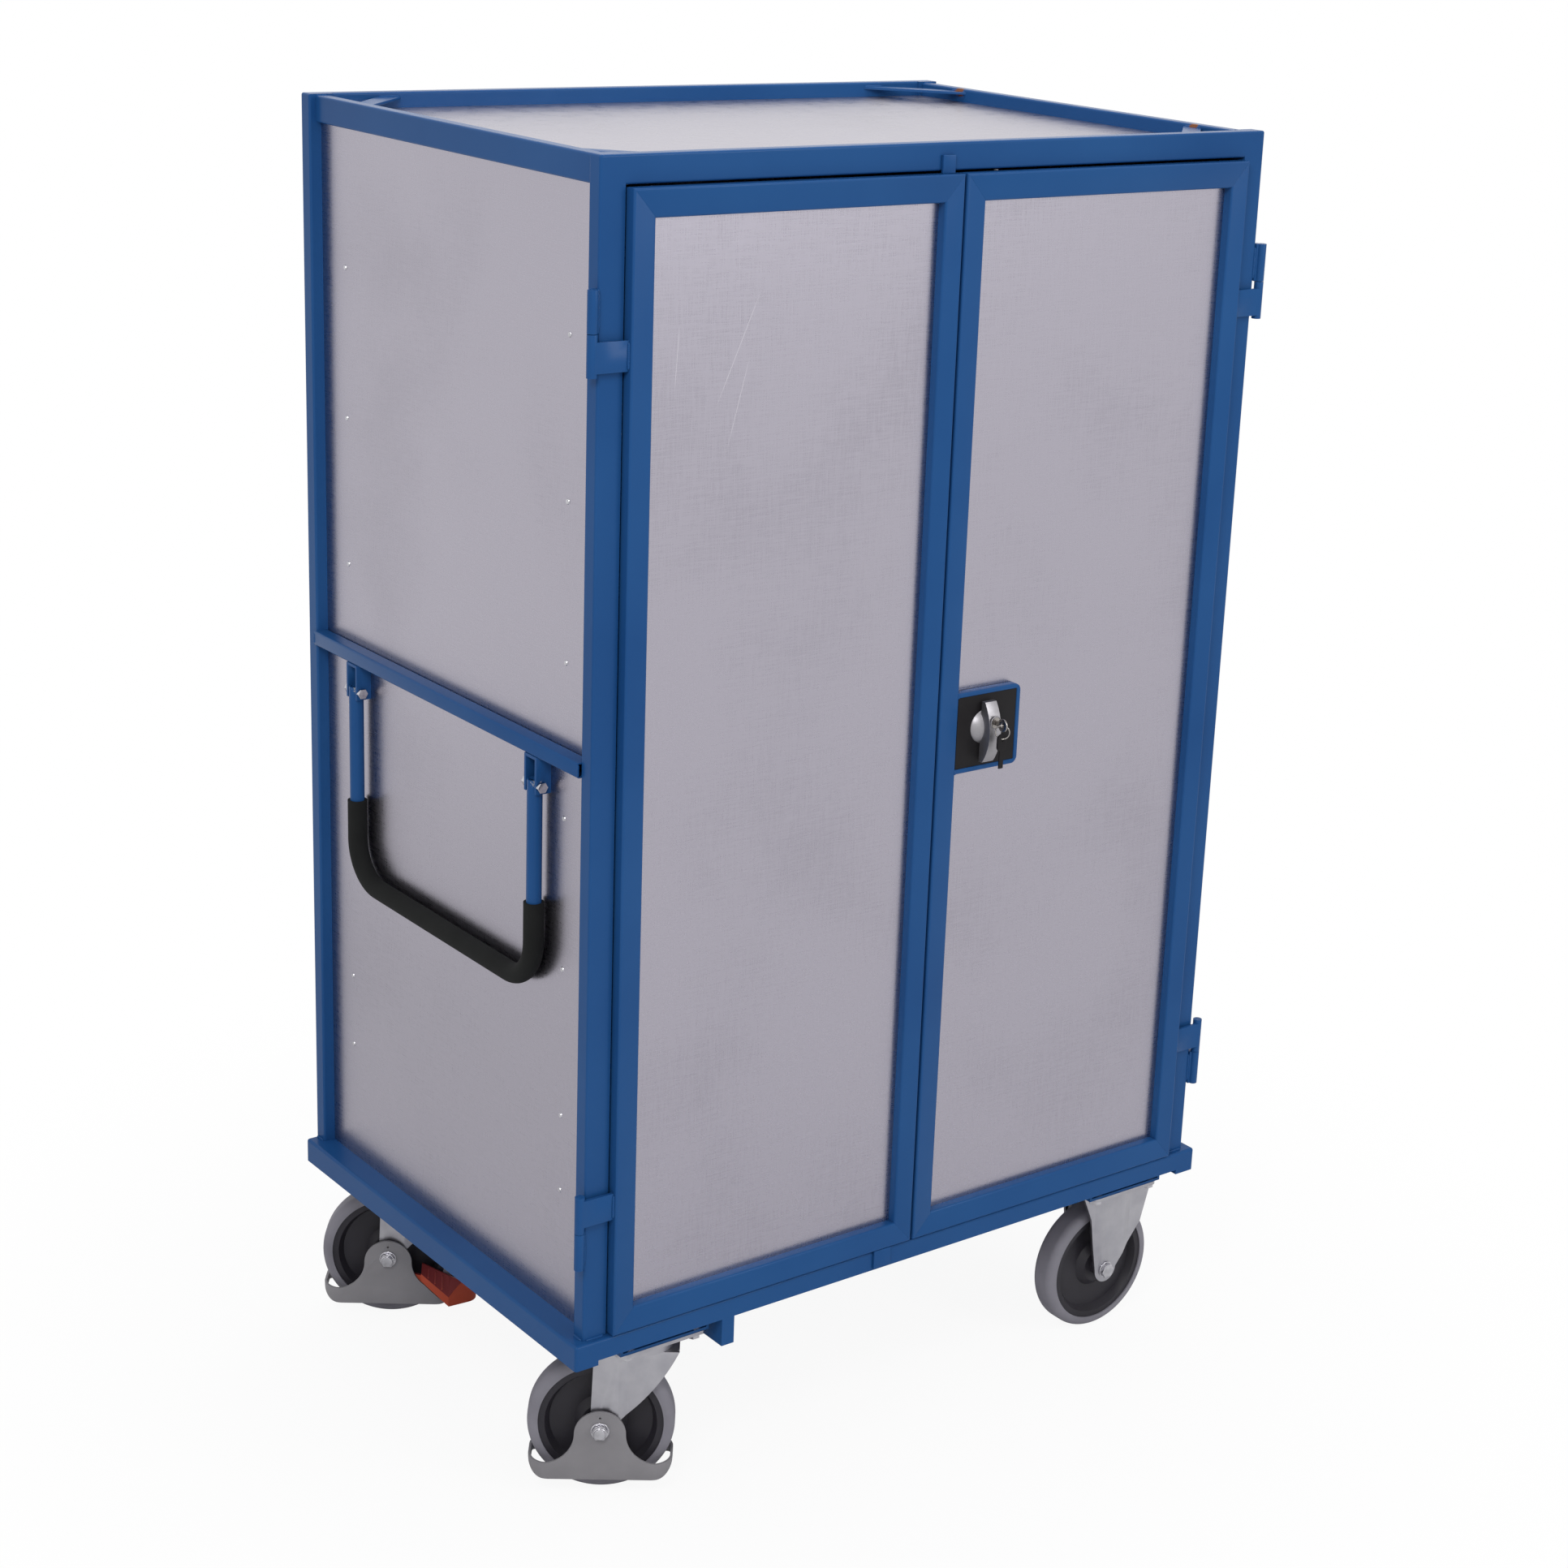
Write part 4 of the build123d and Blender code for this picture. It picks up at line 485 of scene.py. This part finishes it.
# %% Beads on the frame
post_depth = 24 * MM
post_inner_x = half_width - 35 * MM
leaf_back_y = front_y + 7.7 * MM
leaf_edges = [(half_width + 0.8 * MM, leaf_back_y + 0.6 * MM), (half_width - 0.6 * MM, front_y + 0.4 * MM)]
hinge_spans = [(1596.8, 1648.4), (391.0, 442.2)]
brace_near, brace_far, brace_z = 76 * MM, 108 * MM, top_z - 6 * MM
foot_bead, rim_bead, leaf_bead, brace_bead, rail_bead = 2.2 * MM, 1.9 * MM, 2.2 * MM, 1.8 * MM, 1.6 * MM
foot_inset, toe_inset, leaf_inset = 3 * MM, 4 * MM, 4 * MM
proud = 0.4 * MM
frame_seams = []
for side in (-1, 1):
    for low_y in (front_y, back_y - post_depth):
        foot = (side * (half_width + proud), low_y + foot_inset, base_top + proud)
        frame_seams.append((foot, (foot[0], low_y + post_depth - foot_inset, foot[2]), foot_bead))
        rim_y = low_y + (post_depth if low_y == front_y else 0)
        rim_seam = (side * (rim_inner_x + 3 * MM), rim_y, top_z - 2.6 * MM)
        frame_seams.append((rim_seam, (side * (half_width - 10 * MM), rim_seam[1], rim_seam[2]), rim_bead))
    toe = (side * (post_inner_x + toe_inset), front_y - proud, base_top + proud)
    frame_seams.append((toe, (side * (half_width - toe_inset), toe[1], toe[2]), foot_bead))
    for low_z, high_z in hinge_spans:
        for x, y in leaf_edges:
            leaf = (side * x, y, low_z * MM + leaf_inset)
            frame_seams.append((leaf, (leaf[0], leaf[1], high_z * MM - leaf_inset), leaf_bead))
    for end in (-1, 1):
        corner_x, corner_y = side * rim_inner_x, centre_y + end * rim_inner_y
        frame_seams.append(((corner_x - side * brace_near, corner_y, brace_z),
                            (corner_x - side * brace_far, corner_y, brace_z), brace_bead))
        frame_seams.append(((corner_x, corner_y - end * brace_near, brace_z),
                            (corner_x, corner_y - end * brace_far, brace_z), brace_bead))
rail_low, rail_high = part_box("handle_rail")
for end_y in (rail_low[1], rail_high[1]):
    frame_seams.append(((rail_low[0] + 1 * MM, end_y, rail_low[2] + 2 * MM),
                        (rail_low[0] + 1 * MM, end_y, rail_high[2] - 2 * MM), rail_bead))
beads = weld_beads("frame_weld_beads", frame_seams, "cabinet")
print(beads.name, len(frame_seams))

# %% [markdown]
# On the doors the beads hold the hinges' straps to the outer edges, and the lock box to the right door.
# They could be part of the frame's piece, but a door's beads have to swing with it, so each door has its
# own piece.

# %% Beads on the doors
door_edge_x = 496 * MM
door_front_y = front_y - 14 * MM
strap_y = front_y - 8.6 * MM
strap_spans = [(1551.2, 1588.2), (451.8, 488.8)]
strap_inset, strap_bead = 2 * MM, 1.9 * MM
box_low, box_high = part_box("lock_box")
box_rim, box_overlap, box_bead = 6.5 * MM, 0.5 * MM, 1.7 * MM
for side, door in ((-1, "door_left"), (1, "door_right")):
    door_seams = []
    for low_z, high_z in strap_spans:
        root = (side * (door_edge_x + 0.7 * MM), strap_y - 0.5 * MM, low_z * MM + strap_inset)
        door_seams.append((root, (root[0], root[1], high_z * MM - strap_inset), strap_bead))
    if side > 0:
        for low_z, high_z in ((box_low[2], box_low[2] + box_rim), (box_high[2] - box_rim, box_high[2])):
            seam = (box_low[0], door_front_y + 1.2 * MM, low_z - box_overlap)
            door_seams.append((seam, (seam[0], seam[1], high_z + box_overlap), box_bead))
    beads = weld_beads(f"{door}_weld_beads", door_seams, door)
    print(beads.name, len(door_seams))


# %% [markdown]
# Washers, the collars of lock nuts and the ring round the key cylinder are turned on a lathe. A primitive
# would do for one of them, but all are the same idea: an outline of radius and reach, spun about an axis.

# %% Turned pieces
def turned(name, outline, middles, axes, body, slot, sides=48):
    """At each middle an outline of (radius, reach) in millimetres is spun about an axis: a point is
    middle + reach axis + radius (cos t aside + sin t above)."""
    outline = np.array(outline) * MM
    middles = np.array(middles)
    axes = np.array(axes) / np.linalg.norm(axes, axis=1)[:, None]
    aside = np.cross(axes, (0.0, 0.0, 1.0))
    above = np.cross(aside, axes)
    t = np.linspace(0, 2 * np.pi, sides, endpoint=False)
    spin = np.cos(t)[None, :, None] * aside[:, None, :] + np.sin(t)[None, :, None] * above[:, None, :]
    rise = outline[None, :, None, 1:] * axes[:, None, None, :]
    points = middles[:, None, None, :] + rise + outline[None, :, None, :1] * spin[:, None, :, :]
    quads = tube_quads(len(middles), len(outline), sides)
    return piece_from(name, points.reshape(-1, 3), quads, body, slot)


def washer(inner, outer, thick):
    """A flat ring's outline with eased outer corners, closed on itself."""
    ease = 0.25 * thick
    return [(inner, 0), (outer - ease, 0), (outer, ease), (outer, thick - ease), (outer - ease, thick),
            (inner, thick), (inner, 0)]


# %% [markdown]
# Each axle has a washer at both ends and a collar on its nut. The swivel casters are on the left, where the
# washers lie on the guards, and the fixed ones on the right, where they lie on the forks. A wheel's joint
# in the record gives the axle's place and direction, so nothing has to be measured again.

# %% Washers and nut collars on the axles
joints = {joint["name"]: joint for joint in frame["record"]["behaviour"]["joints"]}
washer_reach = {"left": 41.0, "right": 35.0}
nut_height = 7.0
collar = [(7.6, 0), (9.3, 0), (9.1, 1.2), (8.4, 2.0), (7.6, 2.0), (7.6, 0)]
for end in ("front", "rear"):
    for side, body in (("left", f"swivel_{end}"), ("right", "cabinet")):
        joint = joints[f"wheel_{end}_{side}_roll"]
        hub = np.array(joint["pos_m"])
        axis = np.array(joint["axis"])
        faces = [hub + way * washer_reach[side] * MM * axis for way in (-1, 1)]
        turned(f"axle_washers_{end}_{side}", washer(9.9, 12.8, 1.6), faces, [-axis, axis], body,
               "bright_fastener")
        nut_top = hub + (washer_reach[side] + nut_height) * MM * axis
        turned(f"nut_collar_{end}_{side}", collar, [nut_top], [axis], body, "bright_fastener")
        print("washers and collar at", hub.round(4))

# %% Ring round the key cylinder
plug_low, plug_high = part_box("key_cylinder")
plug = np.array([(plug_low[0] + plug_high[0]) / 2, plug_low[1], (plug_low[2] + plug_high[2]) / 2])
ring = [(7.9, -1.0), (9.0, -1.0), (8.9, 0.1), (8.4, 0.5), (7.9, 0.2), (7.9, -1.0)]
turned("key_cylinder_ring", ring, [plug], [(0.0, -1.0, 0.0)], "lock_handle", "lock_silver")
print("key cylinder ring at", plug.round(4))

# %% [markdown]
# The pedal's tread is ribbed so that a shoe grips it. The ribs could be a bump, but they show in outline,
# so each is a low bar with closed ends, made like a weld bead without its ripples.

# %% Ribs on the pedal
braked_wheel = joints["wheel_rear_left_roll"]
hub = np.array(braked_wheel["pos_m"])
across = np.array(braked_wheel["axis"])
ahead = np.array([-across[1], across[0], 0.0])


def on_pedal(reach, side, height):
    """A point at a reach ahead of the axle, a side offset along it and a height, in millimetres."""
    spot = hub + (reach * ahead + side * across) * MM
    return (spot[0], spot[1], height * MM)


start_reach, knee_reach, tip_reach = 49, 90, 127
start_edge, knee_edge = 76, 37.5
start_crown, knee_crown = 10, 28
knee_top, tip_top = 65.5, 48.0
rib_outer, rib_inner, rib_half = 39.5, 27.5, 16
slope_shares, tip_rows = (0.25, 0.5, 0.75), (99, 108, 117)
rib_radius = 1.5 * MM
ribs = []
for share in slope_shares:
    reach = start_reach + share * (knee_reach - start_reach)
    edge = start_edge + share * (knee_edge - start_edge)
    crown = start_crown + share * (knee_crown - start_crown)
    for side in (-1, 1):
        foot = on_pedal(reach, side * rib_outer, edge + 0.1 * crown)
        ribs.append((foot, on_pedal(reach, side * rib_inner, edge + 0.9 * crown), rib_radius))
for reach in tip_rows:
    height = knee_top + (reach - knee_reach) * (tip_top - knee_top) / (tip_reach - knee_reach)
    ribs.append((on_pedal(reach, -rib_half, height), on_pedal(reach, rib_half, height), rib_radius))
weld_beads("pedal_ribs", ribs, "brake_pedal", swell=0.0, slot="pedal_plastic")
print("pedal ribs", len(ribs))

# %% [markdown]
# The picture's camera stands left of the doors and a little above the top, about four metres away. Its
# turn, tilt and roll were found from the cabinet's corners, and the lens shift keeps the same framing. A
# constraint could aim it, but it also rolls a little, so its three directions go into its matrix.

# %% Camera
turn, tilt, roll = (math.radians(a) for a in (-38.8583, 17.4916, 2.7061))
back = Vector((math.sin(turn) * math.cos(tilt), -math.cos(turn) * math.cos(tilt), math.sin(tilt)))
right = Vector((math.cos(turn), math.sin(turn), 0))
up = back.cross(right)
across_frame = math.cos(roll) * right + math.sin(roll) * up
up_frame = -math.sin(roll) * right + math.cos(roll) * up
camera_place = (-2.3547, front_y - 2.8346, 2.1739)
lens = bpy.data.cameras.new("camera")
lens.lens = 66.626
lens.sensor_width = 36.0
lens.shift_x = -0.06740
lens.shift_y = -0.02715
camera = bpy.data.objects.new("camera", lens)
camera.matrix_world = Matrix.Translation(camera_place) @ Matrix(
    (across_frame, up_frame, back)).transposed().to_4x4()
bpy.context.scene.collection.objects.link(camera)
bpy.context.scene.camera = camera
print("camera at", camera_place)


# %% [markdown]
# The trolley stands in a pale studio, on a wide floor that fades to white. A plain white plane would turn
# grey where the light falls off, so the floor glows white to the eye, and near the object a little less,
# which lets the soft shadow show.

# %% Floor
def seen_rays(tree):
    """One where the ray comes from the camera, a reflection or a transmission, and zero for light."""
    ray = add(tree, "ShaderNodeLightPath")
    shown = add(tree, "ShaderNodeMath", settings={"operation": "MAXIMUM"},
                links={0: (ray, "Is Camera Ray"), 1: (ray, "Is Glossy Ray")})
    return add(tree, "ShaderNodeMath", settings={"operation": "MAXIMUM"},
               links={0: (shown, 0), 1: (ray, "Is Transmission Ray")})


def white_by_reach(tree, near, far, least):
    """A white share that rises from least to one between two distances from the object."""
    place = add(tree, "ShaderNodeTexCoord")
    reach = add(tree, "ShaderNodeVectorMath", settings={"operation": "LENGTH"},
                links={0: (place, "Object")})
    return add(tree, "ShaderNodeMapRange", settings={"interpolation_type": "SMOOTHSTEP"},
               values={"From Min": near, "From Max": far, "To Min": least, "To Max": 1.0},
               links={"Value": (reach, "Value")})


def studio_floor(half_size, count=9):
    """A flat square grid of count by count points at zero height, white far off and a soft white ground
    near the object. In the object's own reflections the ground under it turns white more slowly, as its
    shade does."""
    side = np.linspace(-half_size, half_size, count)
    x, y = np.meshgrid(side, side, indexing="ij")
    points = np.stack([x.ravel(), y.ravel(), np.zeros(x.size)], axis=1)
    step = np.arange(count - 1)
    corner = (step[:, None] * count + step[None, :]).ravel()
    quads = np.stack([corner, corner + count, corner + count + 1, corner + 1], axis=1)
    mesh = bpy.data.meshes.new("studio_floor")
    mesh.from_pydata(points.tolist(), [], quads.tolist())
    floor = bpy.data.objects.new("studio_floor", mesh)
    bpy.context.scene.collection.objects.link(floor)
    finish = bpy.data.materials.new("pale_studio_floor")
    finish.use_nodes = True
    tree = finish.node_tree
    tree.nodes.clear()
    ray = add(tree, "ShaderNodeLightPath")
    for_eye = white_by_reach(tree, 0.5, 1.6, 0.92)
    in_gloss = white_by_reach(tree, 0.9, 4.5, 0.0)
    fade = add(tree, "ShaderNodeMix", links={"Factor": (ray, "Is Glossy Ray"), "A": (for_eye, "Result"),
                                             "B": (in_gloss, "Result")})
    seen = seen_rays(tree)
    white_share = add(tree, "ShaderNodeMath", settings={"operation": "MULTIPLY"},
                      links={0: (fade, "Result"), 1: (seen, 0)})
    ground = add(tree, "ShaderNodeBsdfDiffuse", values={"Color": to_linear("#F2F2F2")})
    glow = add(tree, "ShaderNodeEmission", values={"Color": to_linear("#FFFFFF"), "Strength": 1.0})
    mix = add(tree, "ShaderNodeMixShader", links={"Fac": (white_share, 0)})
    tree.links.new(ground.outputs["BSDF"], mix.inputs[1])
    tree.links.new(glow.outputs["Emission"], mix.inputs[2])
    add(tree, "ShaderNodeOutputMaterial", links={"Surface": (mix, "Shader")})
    mesh.materials.append(finish)
    return floor


floor = studio_floor(12.0)
print("floor faces", len(floor.data.polygons))

# %% [markdown]
# The light comes from a white surround and three large soft lamps. Small hard lamps would draw sharper
# edges, but also black shadows, so the lamps are wide, and weak enough that a colour renders about as it
# is written. The surround lights weakly, and shows as plain white to the camera and in reflections.

# %% Surround and lamps
world = bpy.data.worlds.new("studio")
bpy.context.scene.world = world
world.use_nodes = True
tree = world.node_tree
tree.nodes.clear()
seen = seen_rays(tree)
surround = add(tree, "ShaderNodeBackground", values={"Color": to_linear("#FFFFFF"), "Strength": 0.55})
white = add(tree, "ShaderNodeBackground", values={"Color": to_linear("#FFFFFF"), "Strength": 1.0})
choice = add(tree, "ShaderNodeMixShader", links={"Fac": (seen, 0)})
tree.links.new(surround.outputs["Background"], choice.inputs[1])
tree.links.new(white.outputs["Background"], choice.inputs[2])
add(tree, "ShaderNodeOutputWorld", links={"Surface": (choice, "Shader")})


def soft_lamp(name, place, aim, size, power):
    """A square area lamp at a place, turned to an aim point."""
    lamp = bpy.data.lights.new(name, "AREA")
    lamp.size = size
    lamp.energy = power
    lamp_object = bpy.data.objects.new(name, lamp)
    lamp_object.location = place
    lamp_object.rotation_euler = (Vector(aim) - Vector(place)).to_track_quat("-Z", "Y").to_euler()
    bpy.context.scene.collection.objects.link(lamp_object)


soft_lamp("key_lamp", (-2.6, -2.2, 3.4), (0, 0, 1.0), size=1.1, power=50)
soft_lamp("front_lamp", (1.6, -3.6, 2.6), (0, 0, 0.9), size=1.3, power=36)
soft_lamp("top_lamp", (0.3, 0.4, 4.2), (0, 0, 1.0), size=2.4, power=40)
print("lamps", len(bpy.data.lights))

# %% [markdown]
# Blender can bend colours as film does. These finishes are meant to show as they are written, so the plain
# Standard view is set.

# %% Colour view
bpy.context.scene.view_settings.view_transform = "Standard"
print("view", bpy.context.scene.view_settings.view_transform)
